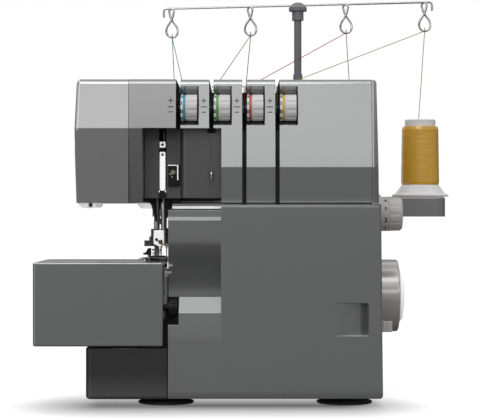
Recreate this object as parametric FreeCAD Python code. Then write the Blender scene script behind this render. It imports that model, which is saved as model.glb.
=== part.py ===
"""Four-thread serger (overlock) sewing machine, modelled as an assembly of separate pieces.

Working frame: X to the right as the user sees it, Y to the back, Z up, all in millimetres.
The needle bar stands at X = 0, Y = 0 and the table is at Z = 0. Every piece is moved on export
so that the origin is the middle of the footprint.
"""
import FreeCAD
import Part
import math
import os

V = FreeCAD.Vector

# Levels above the table
FOOT_HEIGHT = 6.0
BED_Z = 129.5
COVER_TOP_Z = 182.5
ARM_TOP_Z = 296.6
SEAM = 0.8
FACE_SEAM = 0.3
WALL = 2.5

# Stations along X
CLOTH_LEFT_X = -114.8
BASE_LEFT_X = -67.5
HEAD_LEFT_X = -79.0
FACE_SEAM_X = -29.4
RECESS_LEFT_X = -17.0
PANEL_STEP_X = 18.4
COLUMN_LEFT_X = 55.0
SIDE_SEAM_X = 192.5
BODY_RIGHT_X = 201.0
COVER_LEFT_X = 7.2
CLOTH_RIGHT_X = 2.7

# Stations along Y
COVER_FACE_Y = -78.0
ARM_FACE_Y = -62.0
ARM_SPLIT_Y = 30.0
BODY_REAR_Y = 110.0

# Head and arm facets
LEFT_CREASE_Z = 251.5
RIGHT_CREASE_Z = 216.0
FACE_SLOPE = 0.115
ARM_SLOPE = 0.085
COLUMN_SLOPE = 0.1034
FACE_FOOT_LEAN = 2.4
ARM_FOOT_LEAN = 7.0
COLUMN_FOOT_LEAN = 2.4
HEAD_SIDE_LEAN = 1.8
SIDE_BEVEL_INSET = 1.6
TOP_ROUND = 5.0
RECESS_TOP_Z = LEFT_CREASE_Z

# Thread slots and tension units
SLOT_COUNT = 4
SLOT_PITCH = 30.2
SLOT_FIRST_X = 15.6
SLOT_WIDTH = 3.9
SLOT_DEPTH = 11.0
SLOT_FRONT_DEPTH = 47.0
SLOT_FRONT_REACH = 26.0
CHANNEL_WALL = 1.6
WINDOW_WIDTH = 16.7
WINDOW_RISE = 19.6
WINDOW_FALL = 16.2
WINDOW_DEPTH = 13.0
DIAL_DIAMETER = 24.4
DIAL_ROOM = 0.8
DIAL_DEPTH = 10.0
DIAL_Z = 270.6
GRIP_COUNT = 10
GRIP_DIAMETER = 9.0
GRIP_DEPTH = 0.6
POST_DIAMETER = 4.0
DISC_DIAMETER = 18.0
DISC_THICKNESS = 0.7

# Front cover, its scoop and its finger recess
COVER_BOTTOM_Z = 7.0
COVER_RETURN = 15.0
COVER_CORNER = 3.2
HUMP_TOP_Z = 177.0
SCOOP_DEPTH = 11.0
SCOOP_BOTTOM_Z = 61.0
SCOOP_TOP_Z = 142.5
SCOOP_RISE = 27.2
SCOOP_BROW = 45.0
SCOOP_HOLLOW = 85.0
FINGER_WIDTH = 31.0
FINGER_HEIGHT = 29.5
FINGER_DEPTH = 9.0
FINGER_RIGHT_X = 188.0
FINGER_Z = 78.3
COVER_SIDE_LEAN = 1.8
COVER_TRAVEL = 8.0
COVER_KNUCKLE = 9.0
HINGE_INSET = 8.0
HINGE_Z = 14.0
HINGE_ROD_DIAMETER = 5.0
LUG_WIDTH = 8.0
LUG_XS = (24.0, 164.0)

# Cloth plate and its swing pin
CLOTH_BOTTOM_Z = 54.0
CLOTH_REAR_Y = 38.0
SWING_X = -58.0
SWING_Y = 44.0
SWING_PIN_DIAMETER = 5.0
KNUCKLE_DIAMETER = 11.0

# Needle plate
PLATE_LEFT_X = -20.5
PLATE_RIGHT_X = 6.4
PLATE_FRONT_Y = -25.0
PLATE_REAR_Y = 35.0
PLATE_THICKNESS = 2.5

# Needle and presser mechanism
NEEDLE_BAR_DIAMETER = 5.6
NEEDLE_STROKE = 24.0
NEEDLE_PITCH = 5.0
NEEDLE_DIAMETER = 1.2
CLAMP_BOTTOM_Z = 143.0
CLAMP_HEIGHT = 15.8
CLAMP_WIDTH = 9.6
CLAMP_DEPTH = 8.0
PRESSER_BAR_DIAMETER = 5.6
PRESSER_X = -7.2
PRESSER_Y = 10.0
PRESSER_LIFT = 6.0
PRESSER_SPRING_SPACE = 18.1
RUN_GAP = 0.05
BODY_GAP = 0.4

# Cutting-width knob
KNOB_DIAMETER = 17.0
KNOB_LENGTH = 8.2
KNOB_Z = 88.5
KNOB_INSET = 14.0

# Drive
SHAFT_Y = 45.0
SHAFT_Z = 94.0
SHAFT_DIAMETER = 10.0
WHEEL_DIAMETER = 70.0
WHEEL_LENGTH = 28.0
PULLEY_DIAMETER = 54.0
MOTOR_PULLEY_DIAMETER = 14.0
PULLEY_WIDTH = 7.0
BELT_THICKNESS = 1.8
MOTOR_Y = 72.0
MOTOR_Z = 54.0
MOTOR_DIAMETER = 52.0
MOTOR_LENGTH = 62.0

# Right-hand controls
STITCH_DIAL_DIAMETER = 31.8
STITCH_DIAL_LENGTH = 23.4
STITCH_DIAL_Y = 0.0
STITCH_DIAL_Z = 173.0
LEVER_PIVOT_Y = 18.0
LEVER_PIVOT_Z = 68.0
LEVER_REACH = 38.0
LEVER_SWING_DEG = 18.0

# Spool stand, pole, guide bar and cones
STAND_HALF_LENGTH = 149.5
STAND_DEPTH = 70.0
STAND_HEIGHT = 20.2
STAND_TOP_Z = 190.5
STAND_STANDOFF = 5.0
POLE_X = 131.9
POLE_DIAMETER = 7.7
LOWER_POLE_DIAMETER = 9.6
POLE_TRAVEL = 48.0
POLE_END_GAP = 13.7
POLE_STOP_GAP = 7.9
BAR_Z = 389.0
HUB_DROP = 15.6
HUB_BOTTOM_Z = BAR_Z - HUB_DROP
LOWER_POLE_TOP_Z = HUB_BOTTOM_Z - POLE_TRAVEL - POLE_STOP_GAP
BAR_TILT_DEG = 1.45
BAR_WIRE = 2.2
INNER_SPAN = 49.5
OUTER_SPAN = 131.0
BAR_OVERHANG = 5.0
CONE_INNER_SPAN = 57.0
CONE_OUTER_SPAN = 126.8
CONE_BASE_DIAMETER = 57.9
CONE_FLARE_HEIGHT = 12.1
CONE_CORE_DIAMETER = 31.6
CONE_HEIGHT = 79.9
WINDING_DIAMETER = 38.6
WINDING_HEIGHT = 60.2
SPOOL_PIN_DIAMETER = 8.0
LOOP_DROP = 31.0
LOOP_WIDTH = 14.0
LOOP_NECK = 11.5
THREAD_DIAMETER = 0.75

# Derived stations
STAND_FRONT_Y = BODY_REAR_Y + STAND_STANDOFF
CONE_Y = STAND_FRONT_Y + STAND_DEPTH / 2
CONE_Z = STAND_TOP_Z + BODY_GAP
CONE_XS = (POLE_X - CONE_OUTER_SPAN, POLE_X - CONE_INNER_SPAN,
           POLE_X + CONE_INNER_SPAN, POLE_X + CONE_OUTER_SPAN)
BAR_HALF_LENGTH = OUTER_SPAN + BAR_OVERHANG
LOOP_XS = (POLE_X - OUTER_SPAN, POLE_X - INNER_SPAN,
           POLE_X + INNER_SPAN, POLE_X + OUTER_SPAN)
SLOT_XS = tuple(SLOT_FIRST_X + SLOT_PITCH * i for i in range(SLOT_COUNT))
ARM_BOTTOM_Z = COVER_TOP_Z + 1.0
DIAL_Y = ARM_FACE_Y + DIAL_DEPTH
HINGE_Y = COVER_FACE_Y + HINGE_INSET
KNOB_Y = COVER_FACE_Y + KNOB_INSET
RIGHT_X = max(CONE_XS[3] + CONE_BASE_DIAMETER / 2, POLE_X + STAND_HALF_LENGTH,
              BODY_RIGHT_X + WHEEL_LENGTH + 3.0)
ORIGIN_X = (CLOTH_LEFT_X + RIGHT_X) / 2
ORIGIN_Y = (COVER_FACE_Y + STAND_FRONT_Y + STAND_DEPTH) / 2
HOME = V(-ORIGIN_X, -ORIGIN_Y, 0)

os.makedirs("parts", exist_ok=True)


def export(name, *solids):
    """Write one node: every solid given, moved to the footprint origin."""
    pieces = []
    for solid in solids:
        pieces.extend(solid.Solids)
    shape = pieces[0] if len(pieces) == 1 else Part.makeCompound(pieces)
    shape = shape.copy()
    shape.translate(HOME)
    shape.exportStep("parts/" + name + ".step")


def box(x0, x1, y0, y1, z0, z1):
    """Upright block between two corners."""
    return Part.makeBox(x1 - x0, y1 - y0, z1 - z0, V(x0, y0, z0))


def rod_x(x0, x1, y, z, diameter):
    """Round bar along X."""
    return Part.makeCylinder(diameter / 2, x1 - x0, V(x0, y, z), V(1, 0, 0))


def rod_y(y0, y1, x, z, diameter):
    """Round bar along Y."""
    return Part.makeCylinder(diameter / 2, y1 - y0, V(x, y0, z), V(0, 1, 0))


def rod_z(z0, z1, x, y, diameter):
    """Round bar along Z."""
    return Part.makeCylinder(diameter / 2, z1 - z0, V(x, y, z0), V(0, 0, 1))


def join(first, *others):
    """One solid from several touching ones."""
    return first.fuse(list(others)).removeSplitter()


def on_x(a, b):
    """A profile point (y, z)."""
    return V(0, a, b)


def on_y(a, b):
    """A profile point (x, z)."""
    return V(a, 0, b)


def on_z(a, b):
    """A profile point (x, y)."""
    return V(a, b, 0)


def corner_arc(before, point, after, radius, place):
    """Tangent points and middle of the arc that rounds one corner."""
    back = (before[0] - point[0], before[1] - point[1])
    ahead = (after[0] - point[0], after[1] - point[1])
    back_length = math.hypot(*back)
    ahead_length = math.hypot(*ahead)
    back = (back[0] / back_length, back[1] / back_length)
    ahead = (ahead[0] / ahead_length, ahead[1] / ahead_length)
    half = math.acos(max(-1.0, min(1.0, back[0] * ahead[0] + back[1] * ahead[1]))) / 2
    reach = radius / math.tan(half)
    split = (back[0] + ahead[0], back[1] + ahead[1])
    split_length = math.hypot(*split)
    middle = radius / math.sin(half) - radius
    start = place(point[0] + back[0] * reach, point[1] + back[1] * reach)
    end = place(point[0] + ahead[0] * reach, point[1] + ahead[1] * reach)
    top = place(point[0] + split[0] / split_length * middle, point[1] + split[1] / split_length * middle)
    return start, top, end


def outline(points, place, radii=None):
    """Closed flat face through the points, with corner radii where they are given."""
    radii = radii or {}
    count = len(points)
    edges = []
    pen = None
    first = None
    for i in range(count):
        radius = radii.get(i, 0)
        if radius:
            start, top, end = corner_arc(points[i - 1], points[i], points[(i + 1) % count], radius,
                                         place)
        else:
            start = place(*points[i])
            end = start
        if pen is not None and pen.distanceToPoint(start) > 1e-6:
            edges.append(Part.LineSegment(pen, start).toShape())
        if radius:
            edges.append(Part.Arc(start, top, end).toShape())
        if first is None:
            first = start
        pen = end
    if pen.distanceToPoint(first) > 1e-6:
        edges.append(Part.LineSegment(pen, first).toShape())
    return Part.Face(Part.Wire(edges))


def slab_x(points, x0, x1, radii=None):
    """Profile in (y, z) drawn out along X."""
    face = outline(points, on_x, radii)
    face.translate(V(x0, 0, 0))
    return face.extrude(V(x1 - x0, 0, 0))


def slab_y(points, y0, y1, radii=None):
    """Profile in (x, z) drawn out along Y."""
    face = outline(points, on_y, radii)
    face.translate(V(0, y0, 0))
    return face.extrude(V(0, y1 - y0, 0))


def slab_z(points, z0, z1, radii=None):
    """Profile in (x, y) drawn out along Z."""
    face = outline(points, on_z, radii)
    face.translate(V(0, 0, z0))
    return face.extrude(V(0, 0, z1 - z0))


def sheet(points, radii, thickness):
    """Closed points and radii of a bent sheet: the path given and its copy on the right-hand side."""
    count = len(points)
    normals = []
    for i in range(count - 1):
        dx = points[i + 1][0] - points[i][0]
        dy = points[i + 1][1] - points[i][1]
        length = math.hypot(dx, dy)
        normals.append((dy / length, -dx / length))
    other = []
    full = {}
    for i in range(count):
        before = normals[max(i - 1, 0)]
        after = normals[min(i, count - 2)]
        scale = thickness / (1 + before[0] * after[0] + before[1] * after[1])
        other.append((points[i][0] + (before[0] + after[0]) * scale,
                      points[i][1] + (before[1] + after[1]) * scale))
        radius = radii.get(i, 0)
        if radius:
            turn = before[0] * after[1] - before[1] * after[0]
            full[i] = radius
            full[2 * count - 1 - i] = radius - thickness if turn < 0 else radius + thickness
    return list(points) + other[::-1], full


def spin(points, origin, axis):
    """Solid of revolution from (along, radius) points about an axis through the origin point."""
    face = Part.Face(Part.makePolygon([V(p[1], 0, p[0]) for p in points + points[:1]]))
    solid = face.revolve(V(0, 0, 0), V(0, 0, 1), 360)
    solid.Placement = FreeCAD.Placement(origin, FreeCAD.Rotation(V(0, 0, 1), axis))
    return solid


def soften(solid, radius, chosen):
    """Round the edges that the test picks out."""
    edges = [edge for edge in solid.Edges if chosen(edge.BoundBox)]
    return solid.makeFillet(radius, edges)


def flat(low, high, value):
    """True where both ends of an interval sit on a value."""
    return abs(low - value) < 1e-3 and abs(high - value) < 1e-3


def biarc(start, heading, end, arrival):
    """Two arcs that leave one point and reach another, smooth at their meeting point."""
    heading = V(heading).normalize()
    arrival = V(arrival).normalize()
    gap = end - start
    both = heading + arrival
    a = 2 * (1 - heading.dot(arrival))
    b = 2 * gap.dot(both)
    c = -gap.dot(gap)
    if abs(a) < 1e-9:
        reach = -c / b
    else:
        reach = (-b + math.sqrt(b * b - 4 * a * c)) / (2 * a)
    near = start + heading * reach
    far = end - arrival * reach
    middle = (near + far) * 0.5
    edges = []
    for p, tangent, q in ((start, heading, middle), (middle, far - near, end)):
        tangent = V(tangent).normalize()
        chord = q - p
        across = chord - tangent * chord.dot(tangent)
        if across.Length < 1e-6 * chord.Length:
            edges.append(Part.LineSegment(p, q).toShape())
            continue
        across.normalize()
        angle = math.atan2(chord.dot(across), chord.dot(tangent))
        radius = chord.Length / (2 * math.sin(angle))
        peak = p + tangent * (radius * math.sin(angle)) + across * (radius * (1 - math.cos(angle)))
        edges.append(Part.Arc(p, peak, q).toShape())
    return edges


def wire_form(knots, diameter):
    """Round wire bent through (point, heading) knots."""
    edges = []
    for (start, heading), (end, arrival) in zip(knots[:-1], knots[1:]):
        edges.extend(biarc(start, heading, end, arrival))
    path = Part.Wire(edges)
    ring = Part.Wire(Part.Circle(knots[0][0], knots[0][1], diameter / 2).toShape())
    return path.makePipeShell([ring], True, False)


def arm_profile(crease, slope, foot_lean):
    """Front edge of the arm in (y, z), from its bottom to its top."""
    lean = slope * (ARM_TOP_Z - crease)
    return [(ARM_FACE_Y + foot_lean, ARM_BOTTOM_Z), (ARM_FACE_Y, crease), (ARM_FACE_Y + lean, ARM_TOP_Z)]


FACE_FRONT = arm_profile(LEFT_CREASE_Z, FACE_SLOPE, FACE_FOOT_LEAN)
LEFT_FRONT = arm_profile(LEFT_CREASE_Z, ARM_SLOPE, ARM_FOOT_LEAN)
RIGHT_FRONT = arm_profile(RIGHT_CREASE_Z, COLUMN_SLOPE, COLUMN_FOOT_LEAN)


def arm_block(front, x0, x1, rear, inset):
    """Solid under the arm skin, set in by a wall."""
    (y0, z0), (y1, z1), (y2, z2) = front
    points = [(y0 + inset, z0 + inset), (y1 + inset, z1), (y2 + inset, z2 - inset),
              (rear, z2 - inset), (rear, z0 + inset)]
    return slab_x(points, x0, x1, {2: TOP_ROUND - min(inset, TOP_ROUND - 1)})


def slot_channel(x, grow, low_front):
    """Block or cut of one thread slot: shallow through the arm, deep at the tension discs."""
    half = SLOT_WIDTH / 2 + grow
    floor = ARM_TOP_Z - SLOT_DEPTH - grow
    deep = ARM_TOP_Z - SLOT_FRONT_DEPTH - grow
    reach = ARM_FACE_Y + SLOT_FRONT_REACH + grow
    front = ARM_FACE_Y - 1 if grow == 0 else ARM_FACE_Y + 0.6
    points = [(front, deep), (reach, deep), (reach, floor), (BODY_REAR_Y + 1, floor),
              (BODY_REAR_Y + 1, ARM_TOP_Z + 1), (front, ARM_TOP_Z + 1)]
    solid = slab_x(points, x - half, x + half)
    if low_front:
        depth = 4.0 + grow
        solid = solid.fuse(box(x - half, x + half, front, ARM_FACE_Y + depth, ARM_BOTTOM_Z - 1,
                               deep + 1))
    return solid


def window_block(x):
    """Solid moulding round one dial window."""
    left = x + SLOT_WIDTH / 2
    return box(left - 0.5, left + WINDOW_WIDTH + CHANNEL_WALL, ARM_FACE_Y + 0.8,
               ARM_FACE_Y + WINDOW_DEPTH, DIAL_Z - WINDOW_FALL - 1.5, DIAL_Z + WINDOW_RISE + 1.5)


def window_cut(x):
    """Flared mouth of one dial window and the room behind it for the dial."""
    right = x + SLOT_WIDTH / 2 + WINDOW_WIDTH
    inner = ARM_FACE_Y + WINDOW_DEPTH
    room = DIAL_DIAMETER / 2 + DIAL_ROOM
    back = DIAL_Y + room
    brow = DIAL_Z + WINDOW_RISE
    sill = DIAL_Z - WINDOW_FALL
    brow_y = ARM_FACE_Y + COLUMN_SLOPE * (brow - RIGHT_CREASE_Z)
    sill_y = ARM_FACE_Y + COLUMN_SLOPE * (sill - RIGHT_CREASE_Z)
    points = [(ARM_FACE_Y - 4, sill), (sill_y, sill), (inner, DIAL_Z - room), (back, DIAL_Z - room),
              (back, DIAL_Z + room), (inner, DIAL_Z + room), (brow_y, brow), (ARM_FACE_Y - 4, brow)]
    return slab_x(points, x, right)


# Head and arm casing
facet_x = SLOT_XS[0]
arm_outer = arm_block(LEFT_FRONT, FACE_SEAM_X, facet_x, ARM_SPLIT_Y, 0).fuse(
    arm_block(RIGHT_FRONT, facet_x, SIDE_SEAM_X - FACE_SEAM, ARM_SPLIT_Y, 0))
arm_room = arm_block(LEFT_FRONT, FACE_SEAM_X - 1, facet_x, ARM_SPLIT_Y + 1, WALL).fuse(
    arm_block(RIGHT_FRONT, facet_x, SIDE_SEAM_X, ARM_SPLIT_Y + 1, WALL))
arm_room = arm_room.fuse(box(COLUMN_LEFT_X + WALL, SIDE_SEAM_X, ARM_FACE_Y + 5, ARM_SPLIT_Y + 1,
                             ARM_BOTTOM_Z - 1, ARM_BOTTOM_Z + 10))
recess_depth_y = ARM_FACE_Y + 42
recess_walls = box(RECESS_LEFT_X - 2, RECESS_LEFT_X, ARM_FACE_Y + 2, recess_depth_y, ARM_BOTTOM_Z + 1,
                   RECESS_TOP_Z + 2).fuse(
    box(COLUMN_LEFT_X, COLUMN_LEFT_X + 2, ARM_FACE_Y + 2, recess_depth_y, ARM_BOTTOM_Z + 1,
        RECESS_TOP_Z + 2))
moulding = recess_walls
for index, slot_x in enumerate(SLOT_XS):
    moulding = moulding.fuse([slot_channel(slot_x, CHANNEL_WALL, index >= 2), window_block(slot_x)])
arm_front = arm_outer.cut(arm_room.cut(moulding))
cuts = [slot_channel(slot_x, 0, index >= 2) for index, slot_x in enumerate(SLOT_XS)]
cuts += [window_cut(slot_x) for slot_x in SLOT_XS]
cuts += [rod_x(slot_x - SLOT_WIDTH / 2 - CHANNEL_WALL - 1, slot_x, DIAL_Y, DIAL_Z, POST_DIAMETER + 0.1)
         for slot_x in SLOT_XS]
cuts.append(box(RECESS_LEFT_X, COLUMN_LEFT_X, ARM_FACE_Y - 5, recess_depth_y, ARM_BOTTOM_Z - 1,
                RECESS_TOP_Z))
cuts.append(box(RECESS_LEFT_X, COLUMN_LEFT_X - 6, recess_depth_y - 1, recess_depth_y + 40,
                ARM_BOTTOM_Z - 1, ARM_BOTTOM_Z + WALL + 1))
arm_front = arm_front.cut(cuts).removeSplitter()
export("arm_front_cover", arm_front)

# Arm rear cover: same section to the back, closed by a rear wall
rear_front = ARM_SPLIT_Y + SEAM
rear_left = HEAD_LEFT_X + 2.0
rear_points = [(rear_front, ARM_BOTTOM_Z), (BODY_REAR_Y, ARM_BOTTOM_Z), (BODY_REAR_Y - 3, ARM_TOP_Z),
               (rear_front, ARM_TOP_Z)]
rear_outer = slab_x(rear_points, rear_left, SIDE_SEAM_X - SEAM, {2: 12.0})
rear_room = slab_x([(rear_front - 1, ARM_BOTTOM_Z + WALL), (BODY_REAR_Y - WALL, ARM_BOTTOM_Z + WALL),
                    (BODY_REAR_Y - WALL - 3, ARM_TOP_Z - WALL), (rear_front - 1, ARM_TOP_Z - WALL)],
                   rear_left + WALL, SIDE_SEAM_X, {2: 9.5})
rear_room = rear_room.fuse(box(COLUMN_LEFT_X + WALL, SIDE_SEAM_X, rear_front - 1, BODY_REAR_Y - WALL - 1,
                               ARM_BOTTOM_Z - 1, ARM_BOTTOM_Z + 5))
rear_room = rear_room.cut([slot_channel(slot_x, CHANNEL_WALL, False) for slot_x in SLOT_XS])
rear_outer = soften(rear_outer, 6.0, lambda b: flat(b.XMin, b.XMax,
                                                    rear_left) and b.ZMin > ARM_TOP_Z - 14)
lifter_slot = box(-16, -4, 44, 76, ARM_BOTTOM_Z - 1, ARM_BOTTOM_Z + WALL + 1)
hook_holes = [rod_z(ARM_TOP_Z - 30, ARM_TOP_Z + 1, slot_x + 7, 96, 2.3) for slot_x in SLOT_XS]
arm_rear = rear_outer.cut([rear_room, lifter_slot] + hook_holes)
arm_rear = arm_rear.cut([slot_channel(slot_x, 0, False) for slot_x in SLOT_XS]).removeSplitter()
export("arm_rear_cover", arm_rear)

# Face cover: left end of the head
face_right = FACE_SEAM_X - FACE_SEAM
face_outer = arm_block(FACE_FRONT, HEAD_LEFT_X, face_right, ARM_SPLIT_Y, 0)
side_cut = slab_y([(HEAD_LEFT_X, LEFT_CREASE_Z), (HEAD_LEFT_X + HEAD_SIDE_LEAN, ARM_TOP_Z + 1),
                   (HEAD_LEFT_X - 9, ARM_TOP_Z + 1),
                   (HEAD_LEFT_X - 9, ARM_BOTTOM_Z - 1), (HEAD_LEFT_X + 2, ARM_BOTTOM_Z - 1)],
                  ARM_FACE_Y - 9, ARM_SPLIT_Y + 9)
face_outer = face_outer.cut(side_cut).removeSplitter()
face_outer = soften(face_outer, TOP_ROUND - 1.0,
                    lambda b: b.XMax < HEAD_LEFT_X + 6 and b.ZMax > LEFT_CREASE_Z
                    and (b.ZLength > 20 or flat(b.ZMin, b.ZMax, ARM_TOP_Z)))
face_room = arm_block(FACE_FRONT, HEAD_LEFT_X + WALL + 3, face_right + 1, ARM_SPLIT_Y + 1, WALL)
face_cover = face_outer.cut([face_room]).removeSplitter()
export("face_cover", face_cover)

# Right side cover with the holes for dial, lever, wheel, switch and inlet
side_bottom = 40.8
side_points = [(SIDE_SEAM_X, side_bottom), (BODY_RIGHT_X - 0.4, side_bottom),
               (BODY_RIGHT_X - 2.0, ARM_BOTTOM_Z),
               (BODY_RIGHT_X - 4.0, ARM_TOP_Z - 0.6), (SIDE_SEAM_X, ARM_TOP_Z - 0.6)]
side_front = COVER_FACE_Y + COVER_RETURN + SEAM
side_full = slab_y(side_points, ARM_FACE_Y, BODY_REAR_Y, {2: 60.0})
side_trim = slab_x([(ARM_FACE_Y - 1, side_bottom - 1), (side_front, side_bottom - 1),
                    (side_front, COVER_TOP_Z + 0.5),
                    (RIGHT_FRONT[0][0], ARM_BOTTOM_Z), RIGHT_FRONT[1], RIGHT_FRONT[2],
                    (RIGHT_FRONT[2][0], ARM_TOP_Z + 9),
                    (ARM_FACE_Y - 9, ARM_TOP_Z + 9), (ARM_FACE_Y - 9, side_bottom - 1)],
                   SIDE_SEAM_X - 1, BODY_RIGHT_X + 1)
bevel_x = SIDE_SEAM_X + SIDE_BEVEL_INSET
bevel_start = V(bevel_x, RIGHT_FRONT[1][0], RIGHT_FRONT[1][1])
bevel_face = Part.Face(Part.makePolygon([bevel_start, bevel_start + V(12, 12, 0),
                                         bevel_start + V(12, -2, 0),
                                         bevel_start]))
bevel_ways = [V(0, y - RIGHT_FRONT[1][0], z - RIGHT_FRONT[1][1]) for y,
              z in (RIGHT_FRONT[0], RIGHT_FRONT[2])]
side_bevels = [bevel_face.extrude(way * 1.05) for way in bevel_ways]
side_outer = side_full.cut([side_trim] + side_bevels).removeSplitter()
side_outer = soften(side_outer, 3.0,
                    lambda b: b.XMin > SIDE_SEAM_X + 1 and b.ZMin > ARM_TOP_Z - 9 and b.YLength > 60)
side_room = box(SIDE_SEAM_X - 1, BODY_RIGHT_X - 2.0 - WALL, side_front + WALL, BODY_REAR_Y - WALL,
                side_bottom - 1, ARM_BOTTOM_Z - 4)
side_room = side_room.fuse(box(SIDE_SEAM_X - 1, BODY_RIGHT_X - 4.4 - WALL, ARM_FACE_Y + 10,
                               BODY_REAR_Y - WALL,
                               ARM_BOTTOM_Z - 5, ARM_TOP_Z - WALL - 1))
lever_arc = slab_x([(LEVER_PIVOT_Y, LEVER_PIVOT_Z),
                    (LEVER_PIVOT_Y - 60,
                     LEVER_PIVOT_Z - 60 * math.tan(math.radians(LEVER_SWING_DEG + 9))),
                    (LEVER_PIVOT_Y - 60,
                     LEVER_PIVOT_Z + 60 * math.tan(math.radians(LEVER_SWING_DEG + 9)))],
                   BODY_RIGHT_X - 9, BODY_RIGHT_X + 1)
lever_ring = rod_x(BODY_RIGHT_X - 9, BODY_RIGHT_X + 1, LEVER_PIVOT_Y, LEVER_PIVOT_Z,
                   2 * LEVER_REACH + 7).cut(
    rod_x(BODY_RIGHT_X - 10, BODY_RIGHT_X + 2, LEVER_PIVOT_Y, LEVER_PIVOT_Z, 2 * LEVER_REACH - 7))
lever_slot = lever_arc.common(lever_ring)
SWITCH_Y = 86.0
SWITCH_Z = 64.0
INLET_Z = 100.0
side_cover = side_outer.cut([
    side_room, lever_slot,
    rod_x(SIDE_SEAM_X, BODY_RIGHT_X + 1, SHAFT_Y, SHAFT_Z, SHAFT_DIAMETER + 6),
    rod_x(SIDE_SEAM_X, BODY_RIGHT_X + 1, STITCH_DIAL_Y, STITCH_DIAL_Z, 12.1),
    box(SIDE_SEAM_X, BODY_RIGHT_X + 1, SWITCH_Y - 11, SWITCH_Y + 11, SWITCH_Z - 7, SWITCH_Z + 7),
    box(SIDE_SEAM_X, BODY_RIGHT_X + 1, SWITCH_Y - 12, SWITCH_Y + 12, INLET_Z - 9,
        INLET_Z + 9)]).removeSplitter()
export("side_cover", side_cover)

# Rear column cover
rear_right = SIDE_SEAM_X - SEAM
column_outer = slab_z([(COLUMN_LEFT_X + WALL + SEAM, 40), (COLUMN_LEFT_X + WALL + SEAM, BODY_REAR_Y),
                       (rear_right, BODY_REAR_Y), (rear_right, 40)], side_bottom, ARM_BOTTOM_Z - SEAM,
                      {1: 8.0})
column_room = slab_z([(COLUMN_LEFT_X + 2 * WALL + SEAM, 39),
                      (COLUMN_LEFT_X + 2 * WALL + SEAM, BODY_REAR_Y - WALL),
                      (rear_right + 1, BODY_REAR_Y - WALL), (rear_right + 1, 39)],
                     side_bottom - 1, ARM_BOTTOM_Z, {1: 5.5})
vents = [box(POLE_X - 40, POLE_X + 40, BODY_REAR_Y - 9, BODY_REAR_Y + 1, 62 + 6 * i, 64.5 + 6 * i)
         for i in range(5)]
export("rear_cover", column_outer.cut([column_room] + vents))

# Bed cover behind and to the right of the needle plate, with the throat wall
BED_LEFT_X = -28.0
BED_FRONT_Y = CLOTH_REAR_Y + 2.0
bed_right = COLUMN_LEFT_X - SEAM
bed_outer = box(BED_LEFT_X, bed_right, BED_FRONT_Y, BODY_REAR_Y, CLOTH_BOTTOM_Z, BED_Z)
bed_outer = soften(bed_outer, 7.0, lambda b: b.ZLength > 20 and flat(b.XMin, b.XMax,
                                                                     BED_LEFT_X) and b.YMin > 90)
bed_outer = soften(bed_outer, 1.5, lambda b: flat(b.ZMin, b.ZMax, BED_Z) and not flat(b.XMin, b.XMax,
                                                                                      bed_right))
bed_room = box(BED_LEFT_X + WALL, bed_right + 1, BED_FRONT_Y - 1, BODY_REAR_Y - WALL, CLOTH_BOTTOM_Z - 1,
               BED_Z - WALL)
bed_deck = box(COVER_LEFT_X + 5, bed_right, 2, BED_FRONT_Y, BED_Z - WALL, BED_Z)
throat_front = ARM_FACE_Y + 3
throat_step = COVER_FACE_Y + max(SCOOP_DEPTH + WALL, COVER_RETURN) + SEAM
throat_wall = slab_x([(throat_front, SCOOP_TOP_Z + 7), (throat_front, ARM_BOTTOM_Z - SEAM),
                      (BODY_REAR_Y - 8, ARM_BOTTOM_Z - SEAM), (BODY_REAR_Y - 8, BED_Z - WALL),
                      (throat_step, BED_Z - WALL), (throat_step, SCOOP_TOP_Z + 7)],
                     COLUMN_LEFT_X, COLUMN_LEFT_X + WALL)
throat_tie = box(bed_right - 1, COLUMN_LEFT_X + 1, 2, BODY_REAR_Y - 8, BED_Z - WALL, BED_Z)
lip_z = HUMP_TOP_Z + 0.7
throat_lip = slab_x([(throat_front + 1, lip_z), (throat_front + 3.6, lip_z + 2.8),
                     (throat_front + 3.9, ARM_BOTTOM_Z - SEAM), (throat_front + 11, ARM_BOTTOM_Z - SEAM),
                     (throat_front + 11, lip_z)], COVER_LEFT_X + 3, COLUMN_LEFT_X + 1)
export("bed_cover", join(bed_outer.cut(bed_room), bed_deck, throat_wall, throat_tie, throat_lip))

# Base pan with the hinge lugs of the front cover
left_front = COVER_FACE_Y + 3.5
pan_right = BODY_RIGHT_X - 0.6
pan_top = side_bottom - SEAM
left_top = CLOTH_BOTTOM_Z - 2.0
pan_split = COVER_LEFT_X - SEAM
pan_front = COVER_FACE_Y + 24.0
pan_left = slab_z([(BASE_LEFT_X, left_front), (BASE_LEFT_X, BODY_REAR_Y), (pan_split, BODY_REAR_Y),
                   (pan_split, left_front)], FOOT_HEIGHT, left_top, {0: 5.0, 1: 8.0})
pan_left = soften(pan_left, 3.0, lambda b: flat(b.ZMin, b.ZMax,
                                                FOOT_HEIGHT) and b.XMax < pan_split - 1e-3)
pan_main = slab_z([(pan_split, pan_front), (pan_split, BODY_REAR_Y), (pan_right, BODY_REAR_Y),
                   (pan_right, pan_front)],
                  FOOT_HEIGHT, pan_top, {2: 8.0, 3: 4.0})
pan_outer = pan_left.fuse(pan_main)
floor_z = FOOT_HEIGHT + 2.5
pan_room = box(BASE_LEFT_X + WALL, pan_split - WALL, left_front + WALL, BODY_REAR_Y - WALL, floor_z,
               left_top + 1).fuse(
    box(pan_split - WALL - 1, pan_right - WALL, pan_front + WALL, BODY_REAR_Y - WALL, floor_z,
        left_top + 1))
pan = pan_outer.cut(pan_room)
lugs = []
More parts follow.
